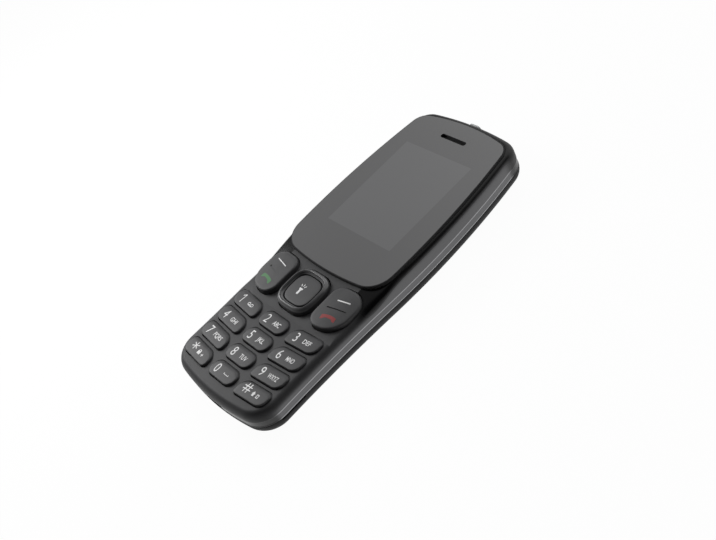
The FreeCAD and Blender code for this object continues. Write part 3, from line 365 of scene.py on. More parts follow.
def hoop(rings):
    """Close a stack of rings by joining the last to the first."""
    form = bmesh.new()
    rows = skin(form, rings)
    for here in range(len(rows[0])):
        after = (here + 1) % len(rows[0])
        form.faces.new((rows[-1][here], rows[-1][after], rows[0][after], rows[0][here]))
    bmesh.ops.recalc_face_normals(form, faces=form.faces)
    return form


def block(rim, low, high, inset=0.0, form=None):
    """A closed prism on an outline."""
    return capped([ring(rim, inset, low), ring(rim, inset, high)], form)


def along_y(rim, start, end, form=None):
    """A closed prism along Y on an outline in x and z."""
    return capped([[Vector((point.x, y, point.y)) * MM for point, normal in rim]
                   for y in (start, end)], form)


def settled(thing):
    """The mesh of an object after its modifiers."""
    graph = bpy.context.evaluated_depsgraph_get()
    return bpy.data.meshes.new_from_object(thing.evaluated_get(graph))


def carve(form, *tools):
    """Cut closed forms out of a closed form, one after another."""
    for tool in tools:
        pair = []
        for part in (form, tool):
            bmesh.ops.recalc_face_normals(part, faces=part.faces)
            pair.append(put("blank", mesh_of("blank", part)))
        cut = pair[0].modifiers.new("cut", "BOOLEAN")
        cut.operation, cut.solver, cut.object = "DIFFERENCE", "EXACT", pair[1]
        form = form_of(settled(pair[0]))
        bmesh.ops.remove_doubles(form, verts=form.verts, dist=WELD)
        for thing in pair:
            bpy.data.objects.remove(thing)
    return form


def eased(share):
    share = min(max(share, 0.0), 1.0)
    return share * share * (3 - 2 * share)


CREASE = DISH_SIDE = 15.5
DISH_LOW, DISH_FLOOR, DISH_RISE = -25.95, 10.7, 0.066


def dish_floor(x, y):
    """The dish's floor rises from the keypad to the lower edge of the lens."""
    return DISH_FLOOR + DISH_RISE * (y - DISH_LOW)


def front_level(x, y):
    """The height of the front moulding: keypad, curve, rim, and the falling shoulders."""
    drop_start, drop_end, shoulder_fall = 2.0, -24.0, 0.07
    reach, drop = drop_start - drop_end, RIM - KEYPAD
    swing = (reach ** 2 + drop ** 2) / (4 * drop)
    if y >= drop_start:
        level = RIM
    elif y <= drop_end:
        level = KEYPAD
    elif y > (drop_start + drop_end) / 2:
        level = RIM - swing + math.sqrt(swing ** 2 - (drop_start - y) ** 2)
    else:
        level = KEYPAD + swing - math.sqrt(swing ** 2 - (y - drop_end) ** 2)
    beside = eased((6 - y) / 10) * eased((y + 27) / 9)
    level -= shoulder_fall * max(abs(x) - CREASE, 0) * beside
    in_dish = abs(x) < DISH_SIDE + 0.01 and DISH_LOW < y < -7.0
    return max(level, dish_floor(x, y) + 0.02) if in_dish else level


def quarter(steps):
    """The way in, 0 to 1, and the way down, 1 to 0, along a quarter round from side to top."""
    bearings = [math.pi / 2 * step / steps for step in range(steps + 1)]
    return [(1 - math.cos(bearing), 1 - math.sin(bearing)) for bearing in bearings]


def rounded_top(rim, low, level, round_wide, round_deep, crease):
    """A block on an outline whose top follows a level, is rounded at its edge and has a crease."""
    form = bmesh.new()
    rows = skin(form, [ring(rim, 0.0, low)]
                + [ring(rim, round_wide * inward,
                        lambda x, y, down=down: level(x, y) - round_deep * down)
                   for inward, down in quarter(10)])
    form.faces.new(rows[0][::-1])
    edge = rows[-1]
    half = len(edge) // 2
    shares = [1 - share / 5 for share in range(5)]
    lines = []
    for here in range(1, half):
        right, left = edge[here], edge[-here]
        reach_x, y = right.co.x / MM, right.co.y / MM
        fold = min(crease, reach_x * 0.8)
        inner = [fold + (reach_x - fold) * share for share in shares[1:]] + [fold, fold / 2, 0]
        inner += [-x for x in reversed(inner[:-1])]
        inner = [form.verts.new(Vector((x, y, level(x, y))) * MM) for x in inner]
        lines.append([right] + inner + [left])
    for line, following in zip(lines, lines[1:]):
        for here in range(len(line) - 1):
            form.faces.new((line[here], following[here], following[here + 1], line[here + 1]))
    form.faces.new([edge[0]] + lines[0])
    form.faces.new([edge[half]] + lines[-1][::-1])
    return form


def plate(centre, wide, high, corners, tilt=0.0, grow=0.0, steps=8, along=3):
    """The outline of a four-sided plate with upright sides and a round at each corner.

    Corners is one radius, or four, anticlockwise from the lower right. Tilt turns the long edges.
    """
    corners = corners if isinstance(corners, list) else [corners] * 4
    lean = math.radians(tilt)
    signs = [(1, -1), (1, 1), (-1, 1), (-1, -1)]
    spreads = [(lean - math.pi / 2, 0), (0, lean + math.pi / 2), (lean + math.pi / 2, math.pi),
               (math.pi, lean + 1.5 * math.pi)]
    rim = []
    for (right, up), (start, end), corner in zip(signs, spreads, corners):
        radius = corner + grow
        over = right * (wide / 2 + grow - radius)
        rising = (up * (high / 2 + grow - radius) + over * math.sin(lean)) / math.cos(lean)
        for step in range(steps + 1):
            bearing = start + (end - start) * step / steps
            normal = Vector((math.cos(bearing), math.sin(bearing)))
            rim.append((Vector((centre[0] + over, centre[1] + rising)) + normal * radius, normal))
    full = []
    for here, (point, normal) in enumerate(rim):
        full.append((point, normal))
        if here % (steps + 1) == steps:
            target = rim[(here + 1) % len(rim)][0]
            full += [(point.lerp(target, share / along), normal) for share in range(1, along)]
    return full


LENS = (-8.65, 110.0, 8.0, [(BULGE[0], BULGE[1], BULGE[2] - 1.5)], 5.0, 75.0, 54.35)
lens_rim = outline(*LENS, [14, 18, 60, 14, 14])
# Each key is a centre, a width, its corners' radii and a tilt. The outer keys are wider and higher.
KEY_HIGH, KEY_TOP, KEY_PLAY, KEY_TILT = 5.2, 11.9, 0.3, 5.0
FIRST_ROW, ROW_PITCH, COLUMN, COLUMN_UP = -29.45, 6.57, 13.55, 0.45
number_keys = {}
for row, names in enumerate(("1 2 3", "4 5 6", "7 8 9", "star 0 hash")):
    for side, name in zip((-1, 0, 1), names.split()):
        row_y = FIRST_ROW - ROW_PITCH * row
        number_keys[name] = ((0.0, row_y), 11.2, 2.4, 0.0)
        if side:
            number_keys[name] = ((COLUMN * side, row_y + COLUMN_UP), 12.1,
                                 [2.8, 1.6, 3.2, 1.3][::side], KEY_TILT * side)
FUNCTION_WIDE, FUNCTION_HIGH = 11.6, 14.4
function_keys = {"left": ((-14.65, -16.65), [4.0, 3.8, 4.8, 7.0], -5.0),
                 "right": ((14.65, -16.65), [7.0, 4.8, 3.8, 4.0], 5.0)}
NAV = ((0.0, -17.25), 14.8, 14.2, 5.2)
# Cutting tools reach from TOOL_LOW to TOOL_TOP in height, and to TOOL_END past both ends.
TOOL_LOW, TOOL_TOP, TOOL_END = 8.0, 15.0, 60.0
FRONT_ROOF, FRONT_WALL, SEAT_FLOOR, SEAT_PLAY = 9.8, 1.3, 11.7, 0.1
DISH_TOP, DISH_WIDE, DISH_STEPS = -12.0, 26.0, 24
shell = rounded_top(body_rim, SPLIT, front_level, FRONT_ROUND, FRONT_DROP, CREASE)
hollow = block(body_rim, SPLIT - 1, FRONT_ROOF, FRONT_WALL)
seat = block(lens_rim, SEAT_FLOOR, TOOL_TOP, -SEAT_PLAY)
points = [(-DISH_WIDE, DISH_LOW), (DISH_WIDE, DISH_LOW), (DISH_WIDE, DISH_TOP),
          (DISH_SIDE, DISH_TOP)]
for step in range(DISH_STEPS + 1):
    x = DISH_SIDE - 2 * DISH_SIDE * step / DISH_STEPS
    points.append((x, LENS[0] + LENS[1] - math.sqrt((LENS[1] + 0.06) ** 2 - x ** 2)))
points += [(-DISH_SIDE, DISH_TOP), (-DISH_WIDE, DISH_TOP)]
dish = block([(Vector(point), Vector((0, 0))) for point in points], dish_floor, TOOL_TOP)
openings = bmesh.new()
for centre, wide, corners, tilt in number_keys.values():
    block(plate(centre, wide, KEY_HIGH, corners, tilt, KEY_PLAY), TOOL_LOW, TOOL_TOP, form=openings)
for centre, corners, tilt in function_keys.values():
    block(plate(centre, FUNCTION_WIDE, FUNCTION_HIGH, corners, tilt, KEY_PLAY), TOOL_LOW, TOOL_TOP,
          form=openings)
block(plate(*NAV, 0.0, KEY_PLAY), TOOL_LOW, TOOL_TOP, form=openings)
# The openings of both ends, seen along Y: a centre, a width, a height and the corners' radius.
TORCH = ((0.0, 9.7), 5.0, 3.0, 1.49)
MICROPHONE = ((-6.0, 8.5), 0.8, 0.8, 0.39)
JACK = ((9.2, 6.55), 5.2, 5.2, 2.59)
SOCKET = ((0.0, 5.775), 7.8, 2.95, 0.5)
ENDS_DEEP, JACK_DEEP, SOCKET_DEEP = 53.8, 53.1, 48.9
ends = along_y(plate(*TORCH, 0.0, 0.15), ENDS_DEEP, TOOL_END)
along_y(plate(*MICROPHONE), -TOOL_END, -ENDS_DEEP, ends)
jack_tool = partial(along_y, plate(*JACK), JACK_DEEP, TOOL_END)
usb_tool = partial(along_y, plate(*SOCKET), -TOOL_END, -SOCKET_DEEP)
shell = carve(shell, hollow, seat, dish, openings, ends, jack_tool())

front_paint = Finish("front_paint", (0.048, 0.048, 0.050), 0.42, Specular_IOR_Level=0.25)
fine_grain = front_paint.noise(0.07)
broad = front_paint.noise(9.0, 3.0)
beside_lens = front_paint.y.step(-17.5, -11.5)
inside_dish = abs(front_paint.x).step(DISH_SIDE + 0.2, DISH_SIDE - 0.2)
inside_dish = inside_dish * front_paint.y.step(4.0, 0.0)
flank = (front_paint.z - front_paint.y.step(-11.0, 2.0) * 1.9).step(10.1, 8.4)
flank = flank * abs(front_paint.y).step(52.0, 46.0)
gloss = beside_lens * (1 - inside_dish)
dark, pale, black = (0.043, 0.043, 0.045), (0.053, 0.053, 0.055), (0.004, 0.004, 0.0045)
above = front_paint.mix(gloss, front_paint.mix(broad, dark, pale), black)
front_paint.set("Base Color", front_paint.mix(flank, above, (0.130, 0.130, 0.133)))
front_paint.set("Metallic", flank * 0.8)
at_ends = abs(front_paint.y).step(49.0, 53.0)
front_paint.set("Roughness", 0.46 + broad * 0.06 - gloss * (1 - flank) * (1 - at_ends) * 0.30
                - flank * 0.18)
front_paint.raise_by(fine_grain * (1 - gloss) * (1 - flank), 0.010)
piece("front_moulding", shell, front_paint, "housing", ("front_housing",))

# Display lens: a hard-coated acrylic sheet, printed grey behind, with the slightly paler window of
# the panel and a slot for the earpiece. Its edge is polished and rounded over, and painted
# near-black as a painted shade line round the lens.
LENS_TOP, LENS_LOW, LENS_EDGE = 13.0, 11.9, 0.25
sheet = capped([ring(lens_rim, 0.08, LENS_LOW), ring(lens_rim, 0.0, LENS_LOW + 0.08)]
               + [ring(lens_rim, LENS_EDGE * inward, LENS_TOP - 0.003 - LENS_EDGE * down)
                  for inward, down in quarter(5)]
               + [ring(lens_rim, LENS_EDGE + 0.2, LENS_TOP)])
slot_tool = block(plate((0.0, 47.65), 10.4, 1.5, 0.7), 10.0, TOOL_TOP)
lens_print = Finish("lens_print", (0.154, 0.154, 0.156), 0.12, Coat_Weight=0.5, Coat_Roughness=0.03)
half_wide, half_high, window_y = 14.0, 17.5, 23.35
inside_x = abs(lens_print.x).step(half_wide + 0.12, half_wide - 0.12)
inside_y = abs(lens_print.y - window_y).step(half_high + 0.12, half_high - 0.12)
inside = inside_x * inside_y
face = lens_print.mix(inside, (0.154, 0.154, 0.156), (0.184, 0.185, 0.188))
# The flat face keeps the grey print; the rounded edge below it is painted near-black, a painted shade
# line along the lens's rim.
face_not_shaded_rim = lens_print.z.step(LENS_TOP - 0.002, LENS_TOP - 0.0005)
lens_print.set("Base Color", lens_print.mix(face_not_shaded_rim, (0.030, 0.030, 0.031), face))
wiped = lens_print.noise(11.0, 4.0)
lens_print.set("Roughness", 0.92 + wiped * 0.05 - face_not_shaded_rim * 0.82)
lens_print.set("Coat Weight", face_not_shaded_rim * 0.5)
piece("display_window", carve(sheet, slot_tool), lens_print, "housing", ("display_lens",))
foam = moulded("black_foam", (0.008, 0.008, 0.008), 0.9, 0.3, 0.05)
carry(foam, "lens_adhesive", "speaker_gasket")

# Earpiece: a fine black cloth of woven wire behind the slot. One tree lays the wires of both
# directions side by side over the slot's length and height.
woven_wire = Finish("woven_wire", (0.004, 0.004, 0.005), 0.6, Specular_IOR_Level=0.15)
woven_wire.raise_by(woven_wire.noise(0.05), 0.004)


def socket_of(tree, name):
    """The identifier of a tree's input, by its name."""
    return next(item.identifier for item in tree.interface.items_tree if item.name == name)


def geometry_tree(name, inputs):
    """An empty tree with named inputs, a function that adds a node to it, and its inputs."""
    tree = bpy.data.node_groups.new(name, "GeometryNodeTree")
    tree.interface.new_socket("Geometry", in_out="INPUT", socket_type="NodeSocketGeometry")
    for label, kind in inputs.items():
        tree.interface.new_socket(label, in_out="INPUT", socket_type=f"NodeSocket{kind}")
    tree.interface.new_socket("Geometry", in_out="OUTPUT", socket_type="NodeSocketGeometry")
    add = partial(add_node, tree)
    return tree, add, add("NodeGroupInput")


def grown(name, tree, inputs, finish, body, stands_for=(), points=()):
    """Run a geometry tree on some points with its inputs and keep the plain mesh that it gives."""
    seed = bpy.data.meshes.new("seed")
    seed.from_pydata(points, [], [])
    holder = put("seed", seed)
    run = holder.modifiers.new("grow", "NODES")
    run.node_group = tree
    for label, value in inputs.items():
        run[socket_of(tree, label)] = value
    run[socket_of(tree, "Finish")] = finish.material
    holder.update_tag()
    form = form_of(settled(holder))
    bpy.data.objects.remove(holder)
    return piece(name, form, finish, body, stands_for)


cloth_tree, add, given = geometry_tree("wire_cloth", {
    "Wide": "Float", "High": "Float", "Pitch": "Float", "Wire": "Float", "Place": "Vector",
    "Finish": "Material"})
wire_sets = []
for length, spread, axis, turn, lift in (("Wide", "High", "Y", (0, math.pi / 2, 0), 0.6),
                                         ("High", "Wide", "X", (math.pi / 2, 0, 0), -0.6)):
    count = reckon(cloth_tree, "DIVIDE", given[spread], given["Pitch"])
    start = reckon(cloth_tree, "MULTIPLY", given[spread], -0.5)
    height = reckon(cloth_tree, "MULTIPLY", given["Wire"], lift)
    begin = add("ShaderNodeCombineXYZ", {}, {axis: start, "Z": height})[0]
    pace = add("ShaderNodeCombineXYZ", {}, {axis: given["Pitch"]})[0]
    line = add("GeometryNodeMeshLine", {},
               {"Count": count, "Start Location": begin, "Offset": pace})[0]
    wire = add("GeometryNodeMeshCylinder", {},
               {"Vertices": 6, "Radius": given["Wire"], "Depth": given[length]})[0]
    wire_sets += [add("GeometryNodeInstanceOnPoints", {},
                      {"Points": line, "Instance": wire, "Rotation": turn})[0]]
both = add("GeometryNodeJoinGeometry", {}, {"Geometry": wire_sets})[0]
real = add("GeometryNodeRealizeInstances", {}, {"Geometry": both})[0]
moved = add("GeometryNodeTransform", {}, {"Geometry": real, "Translation": given["Place"]})[0]
dressed = add("GeometryNodeSetMaterial", {}, {"Geometry": moved, "Material": given["Finish"]})[0]
add("NodeGroupOutput", {}, {"Geometry": dressed})
mesh_low, mesh_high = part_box("earpiece_mesh")
mesh_size = mesh_high - mesh_low
grown("earpiece_cloth", cloth_tree,
      {"Wide": mesh_size.x - 0.3 * MM, "High": mesh_size.y - 0.1 * MM, "Pitch": 0.16 * MM,
       "Wire": 0.045 * MM, "Place": (mesh_high + mesh_low) / 2},
      woven_wire, "housing")
carry(foam, "earpiece_mesh")

# Torch: a warm white lamp chip on the board behind a clear acrylic lens that stands a hair proud of
# the top end, with its front edge rounded.
lamp = Finish("lamp_chip", (0.80, 0.78, 0.62), 0.5)
phosphor = lamp.noise(0.5)
lamp.set("Base Color", lamp.mix(phosphor, (0.82, 0.80, 0.66), (0.75, 0.62, 0.22)))
carry(lamp, "torch_led")
clear = Finish("clear_acrylic", (0.93, 0.95, 0.96), 0.06, IOR=1.49, Transmission_Weight=0.55)
clear.raise_by(clear.noise(1.2, 0.0), 0.01)
torch_low, torch_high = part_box("torch_lens")
TORCH_EDGE = 0.3
stack = [(torch_low.y / MM, 0.0)]
stack += [(torch_high.y / MM - TORCH_EDGE * down, TORCH_EDGE * inward)
          for inward, down in quarter(5)]
torch = capped([[Vector((p.x - n.x * inset, y, p.y - n.y * inset)) * MM for p, n in plate(*TORCH)]
                for y, inset in stack])
bmesh.ops.recalc_face_normals(torch, faces=torch.faces)
piece("torch_window", torch, clear, "housing", ("torch_lens",))

# Number keys: hard plastic caps, painted matt grey, each with a soft crown, a rounded edge and its
# legend printed in white ink.
key_paint = moulded("key_paint", (0.060, 0.060, 0.062), 0.46, 0.07, 0.008, Specular_IOR_Level=0.35)
white_ink = moulded("white_ink", (0.84, 0.84, 0.84), 0.5, 0.05, 0.002)


def cap_edge(crisp, soft):
    """A cap's edge: width, depth and flare, crisp at the lower right and soft at the upper left."""
    def edge(normal):
        share = eased(0.5 + 0.75 * (0.87 * normal.y - 0.5 * normal.x))
        return [low + (high - low) * share for low, high in zip((*crisp, 0.0), (*soft, FLARE))]
    return edge


def cap(rim, low, level, edge, foot=0.0, lip=0.0, sink=(0.86, 0.68, 0.48, 0.26)):
    """A key cap: a lip at its foot, flared sides, a rounded edge and a top that follows a level."""
    form = bmesh.new()
    rings = [ring(rim, -lip, low), ring(rim, -lip, LIP_TOP)] if lip else [ring(rim, 0.0, low)]
    edges = [(point, normal, *edge(normal)) for point, normal in rim]
    for share, drop in ((1.0, None), (1.0, 0.1), (0.4, 0.0)) if foot else ():
        rings.append([])
        for point, normal, wide, deep, flare in edges:
            height = LIP_TOP if drop is None else min(foot, level(*point) - deep - 0.06) - drop
            rings[-1].append(Vector((*(point + normal * flare * share), height)) * MM)
    for inward, down in quarter(6):
        rings.append([])
        for point, normal, wide, deep, flare in edges:
            place = point - normal * wide * inward
            rings[-1].append(Vector((*place, level(*place) - deep * down)) * MM)
    top = rings[-1]
    middle = sum(top, Vector()) / len(top)
    for share in sink:
        places = [middle.lerp(point, share) for point in top]
        rings.append([Vector((p.x, p.y, level(p.x / MM, p.y / MM) * MM)) for p in places])
    rows = skin(form, rings)
    form.faces.new(rows[0][::-1])
    peak = form.verts.new((middle.x, middle.y, level(middle.x / MM, middle.y / MM) * MM))
    for here in range(len(rows[-1])):
        form.faces.new((rows[-1][here], rows[-1][(here + 1) % len(rows[-1])], peak))
    return form


def crowned(centre, wide, high, top, crown, lean=0.0):
    """A level that falls by crown towards the corners, and by lean towards its upper edge."""
    def level(x, y):
        right, up = 2 * (x - centre[0]) / wide, 2 * (y - centre[1]) / high
        return top - lean * ((y - centre[1]) / high + 0.5) - crown * (right ** 2 + up ** 2) / 2
    return level


FLARE, INK = 0.22, 0.02
CAP_LOW, LIP_TOP = 9.3, 9.7
# The big sign lies BIG_SHIFT left of a key's middle, the small ones SMALL_SHIFT right of it.
BIG_SIZE, BIG_SHIFT, SMALL_SIZE, SMALL_SHIFT = 4.3, 2.7, 2.1, 1.75


def word(form, text, size, place, level, turn, wide=None, heavy=0.0):
    """Print a word in a plain sans face on a level, centred on a place and drawn to a width."""
    curve = bpy.data.curves.new("word", "FONT")
    curve.body, curve.size, curve.extrude, curve.offset = text, size, INK / 2, heavy
    curve.align_x, curve.align_y, curve.resolution_u = "CENTER", "CENTER", 4
    holder = put("word", curve)
    mesh = settled(holder)
    box_x = [vertex.co.x for vertex in mesh.vertices]
    box_y = [vertex.co.y for vertex in mesh.vertices]
    middle = Vector(((min(box_x) + max(box_x)) / 2, (min(box_y) + max(box_y)) / 2, 0))
    narrow = wide / (max(box_x) - min(box_x)) if wide else 0.84
    spin = Matrix.Rotation(math.radians(turn), 3, "Z")
    for vertex in mesh.vertices:
        flat = vertex.co - middle
        lift = flat.z
        flat = spin @ Vector((flat.x * narrow, flat.y, 0))
        x, y = flat.x + place[0], flat.y + place[1]
        vertex.co = Vector((x, y, level(x, y) + INK / 2 + lift)) * MM
    form.from_mesh(mesh)
    bpy.data.objects.remove(holder)
    bmesh.ops.remove_doubles(form, verts=form.verts, dist=WELD)


def mark(form, points, place, level, turn=0.0):
    """Print a flat shape on a level. Its outline runs along one side and back, in pairs."""
    spin = Matrix.Rotation(math.radians(turn), 2)
    rows = []
    for lift in (0.0, INK):
        row = []
        for point in points:
            flat = spin @ Vector(point)
            x, y = flat.x + place[0], flat.y + place[1]
            row.append(form.verts.new(Vector((x, y, level(x, y) + lift)) * MM))
        rows.append(row)
    count = len(points)
    made = [form.faces.new((rows[0][here - 1], rows[0][here], rows[1][here], rows[1][here - 1]))
            for here in range(count)]
    for row in rows:
        made += [form.faces.new((row[here], row[here + 1], row[-here - 2], row[-here - 1]))
                 for here in range(count // 2 - 1)]
    bmesh.ops.recalc_face_normals(form, faces=made)


def bar(length, thick, centre=(0.0, 0.0), turn=0.0, steps=6):
    """The outline of a straight stroke, with points along it so that it follows a crown."""
    spin = Matrix.Rotation(math.radians(turn), 2)
    lower = [(length * (step / steps - 0.5), -thick / 2) for step in range(steps + 1)]
    upper = [(x, -y) for x, y in reversed(lower)]
    return [tuple(Vector(centre) + spin @ Vector(point)) for point in lower + upper]


def arch(radius, thick, start, end, centre=(0.0, 0.0), steps=12):
    """The outline of a curved stroke, from one bearing to another in degrees."""
    bearings = [math.radians(start + (end - start) * step / steps) for step in range(steps + 1)]
    return [(centre[0] + reach * math.cos(bearing), centre[1] + reach * math.sin(bearing))
            for reach, way in ((radius + thick / 2, 1), (radius - thick / 2, -1))
            for bearing in bearings[::way]]


small_words = dict(zip("23456789", "ABC DEF GHI JKL MNO PQRS TUV WXYZ".split()))
STROKE, BOLD = 0.24, 0.30
icons = {
    "1": [arch(0.45, STROKE, 0, 359.9, (x, 0.1)) for x in (-0.7, 0.7)]
         + [bar(1.5, STROKE, (0.0, -0.38))],
    "0": [bar(2.1, 0.2, (0.0, -0.2))] + [bar(0.3, 0.2, (x, 0.05), 90) for x in (-0.95, 0.95)],
    "star": [bar(1.3, 1.05, (-0.85, -0.3)), arch(0.42, STROKE, 0, 180, (-0.85, 0.25)),
             bar(1.0, STROKE, (0.95, -0.25))]
            + [bar(0.38, STROKE, (0.95, y), 90) for y in (0.06, -0.56)],
    "hash": [[(-1.6, 0.0), (-0.2, 0.0), (-0.88, 0.85), (-0.92, 0.85)],
             bar(0.75, 0.7, (-0.9, -0.35)),
             bar(0.9, STROKE, (0.85, 0.4)), bar(0.9, STROKE, (0.85, -0.6)),
             bar(0.76, STROKE, (0.52, -0.1), 90), bar(0.76, STROKE, (1.18, -0.1), 90)],
}
signs = {
    "1": [bar(3.15, BOLD, (0.25, 0.0), 90), bar(1.25, BOLD, (-0.22, 1.14), 42)],
    "star": [bar(2.7, BOLD, (0.6, 0.45), turn) for turn in (90, 30, -30)],
    "hash": [bar(3.1, BOLD, (0.5 + side, 0.5), 82) for side in (-0.55, 0.55)]
            + [bar(3.0, BOLD, (0.5, 0.5 + side)) for side in (-0.5, 0.5)],
}
for name, (centre, wide, corners, tilt) in number_keys.items():
    node = f"key_{name}"
    level = crowned(centre, wide, KEY_HIGH, KEY_TOP, 0.12, 0.26)
    form = cap(plate(centre, wide, KEY_HIGH, corners, tilt), CAP_LOW, level,
               cap_edge((0.3, 0.25), (1.05, 0.6)), KEYPAD, 0.4)
    piece(f"{node}_cap", form, key_paint, node, (node,))
    legend = bmesh.new()
    lean = math.tan(math.radians(tilt))
    big_place = (centre[0] - BIG_SHIFT, centre[1] - BIG_SHIFT * lean)
    if name in signs:
        for shape in signs[name]:
            mark(legend, shape, big_place, level, tilt)
    else:
        word(legend, name, BIG_SIZE, big_place, level, tilt, heavy=-0.004)
    small_place = (centre[0] + SMALL_SHIFT, centre[1] + SMALL_SHIFT * lean - 0.1)
    if name in small_words:
        text = small_words[name]
        word(legend, text, SMALL_SIZE, small_place, level, tilt, 0.3 + 0.9 * len(text), 0.03)
    for shape in icons.get(name, []):
        mark(legend, shape, small_place, level, tilt)
    piece(f"{node}_legend", legend, white_ink, node)

# Function keys: one rocking cap each side of the ring, with a soft key's dash above a fine groove and
# a handset sign below it. The caps fall away towards the sides with the shoulders.
green_ink = moulded("green_ink", (0.045, 0.18, 0.055), 0.5, 0.05, 0.002)
red_ink = moulded("red_ink", (0.27, 0.022, 0.022), 0.5, 0.05, 0.002)


def handset(length, thick, bow):
    """A handset lying on its back: a bowed grip with a block at each end."""
    steps = 16
    upper, lower = [], []
    for step in range(steps + 1):
        share = 2 * step / steps - 1
        middle = bow * (1 - share ** 2)
        head = eased((abs(share) - 0.5) / 0.2)
        upper.append((share * length / 2, middle + thick / 2))
        lower.append((share * length / 2, middle - thick / 2 - head * thick * 0.45))
    return lower + upper[::-1]


FUNCTION_TOP, FUNCTION_FALL, FUNCTION_CROWN = 12.9, 0.014, 0.0025
# For each side: the groove's width and depth, then the dash's length, thickness, place and turn.
dashes = {"left": ((0.26, 0.04), (5.1, 0.30), (0.28, 3.2), 2.5),
          "right": ((0.36, 0.32), (4.4, 0.38), (0.60, 2.85), 2.9)}
for side, (centre, corners, tilt) in function_keys.items():
    node = f"{side}_function_key"
    outward = -1 if side == "left" else 1
    (groove_wide, groove_deep), stroke, dash_place, dash_turn = dashes[side]

    def level(x, y, centre=centre, outward=outward):
        beyond = max((x - centre[0]) * outward + 2.0, 0)
        return FUNCTION_TOP - FUNCTION_FALL * beyond ** 2 - FUNCTION_CROWN * (y - centre[1]) ** 2

    form = cap(plate(centre, FUNCTION_WIDE, FUNCTION_HIGH, corners, tilt, along=6), CAP_LOW, level,
               cap_edge((0.5, 0.45), (1.1, 0.8)), KEYPAD - 0.1, 0.3,
               [0.9, 0.8, 0.7, 0.6, 0.5, 0.4, 0.3, 0.2, 0.1])
    groove_rim = plate((centre[0] + outward * 0.1 + 0.3, centre[1] - 0.15), 6.5, groove_wide, 0.1,
                       2.6 * tilt)
    groove = block(groove_rim, lambda x, y: level(x, y) - groove_deep, lambda x, y: level(x, y) + 1)
    piece(f"{node}_cap", carve(form, groove), key_paint, node, (node,))
    legend = bmesh.new()
    mark(legend, bar(*stroke), (centre[0] + dash_place[0], centre[1] + dash_place[1]), level,
         dash_turn * tilt)
    piece(f"{node}_dash", legend, white_ink, node)
    if side == "left":
        dot = bmesh.new()
        mark(dot, arch(0.16, 0.32, 0, 359.9), (-16.85, -16.05), level)
        piece("key_dot", dot, foam, node)
    sign = bmesh.new()
    mark(sign, handset(4.9, 1.0, 0.35), (centre[0] + 0.43, centre[1] - 3.4), level, 2.4 * tilt)
    piece(f"{node}_sign", sign, green_ink if side == "left" else red_ink, node)

# Navigation ring: a satin squircle frame whose inner wall slopes down to the select key, which sits
# a little lower and carries a torch sign.
nav_satin = moulded("nav_satin", (0.056, 0.056, 0.058), 0.30, 0.12, 0.003, Coat_Weight=0.3)


def squircle(centre, wide, high, power, count=96):
    """The outline of a rounded square without straight sides."""
    rim = []
    for step in range(count):
        bearing = 2 * math.pi * step / count
        way = Vector((2 * math.cos(bearing) / wide, 2 * math.sin(bearing) / high))
        reach = (abs(way.x) ** power + abs(way.y) ** power) ** (-1 / power)
        slope = Vector((math.copysign(abs(way.x) ** (power - 1), way.x) / wide,
                        math.copysign(abs(way.y) ** (power - 1), way.y) / high))
        rim.append((Vector(centre) + Vector((math.cos(bearing), math.sin(bearing))) * reach,
                    slope.normalized()))
    return rim


ring_rim = squircle(*NAV[:3], 3.0)
# Its profile, as insets and heights: lip, outer wall, slope up to the crest, inner slope and wall.
profile = [(-0.2, 9.5), (-0.2, 9.7), (0.0, 9.7), (0.0, 12.1), (0.05, 12.35), (0.15, 12.55),
           (0.3, 12.73), (0.5, 12.9), (0.7, 13.03), (0.85, 13.11), (0.98, 13.17), (1.08, 13.2),
           (1.16, 13.19), (1.24, 13.12), (1.30, 12.98), (1.40, 12.78), (1.58, 12.6), (1.78, 12.47),
           (1.90, 12.4), (1.95, 12.2), (1.95, 9.5)]
piece("nav_frame", hoop([ring(ring_rim, *step) for step in profile]), nav_satin, "nav_ring",
      ("nav_ring",), 40)
SELECT_WIDE, SELECT_HIGH, SELECT_LOW, SELECT_TOP = 10.4, 9.9, 9.1, 12.65
select_level = crowned(NAV[0], SELECT_WIDE, SELECT_HIGH - 0.1, SELECT_TOP, 0.2)
select = cap(squircle(NAV[0], SELECT_WIDE, SELECT_HIGH, 3.1), SELECT_LOW, select_level,
             cap_edge((0.3, 0.25), (0.4, 0.3)))
piece("select_cap", select, key_paint, "nav_center_key", ("nav_center_key",))
sign = bmesh.new()
torch_shape = [(-0.38, -1.8), (-0.38, -1.2), (-0.38, -0.35), (-0.72, 0.1), (-0.72, 0.45),
               (0.72, 0.45), (0.72, 0.1), (0.38, -0.35), (0.38, -1.2), (0.38, -1.8)]
sign_place = (NAV[0][0] - 0.65, NAV[0][1] - 0.1)
mark(sign, torch_shape, sign_place, select_level)
for lean in (-32, 0, 32):
    beam = Vector((math.sin(math.radians(lean)), math.cos(math.radians(lean)))) * 1.5
    mark(sign, bar(0.85, 0.27, (beam.x, beam.y), 90 - lean), sign_place, select_level)
piece("select_sign", sign, white_ink, "nav_center_key")

# Side band: the satin grey trim ring between front and cover. It is one profile swept round the body,
# with a narrow bead along its upper and its lower edge, each with a painted highlight line.
BAND_LOW, BAND_HIGH = 5.1, SPLIT
band_satin = moulded("band_satin", (0.13, 0.13, 0.133), 0.28, 0.15, 0.002)
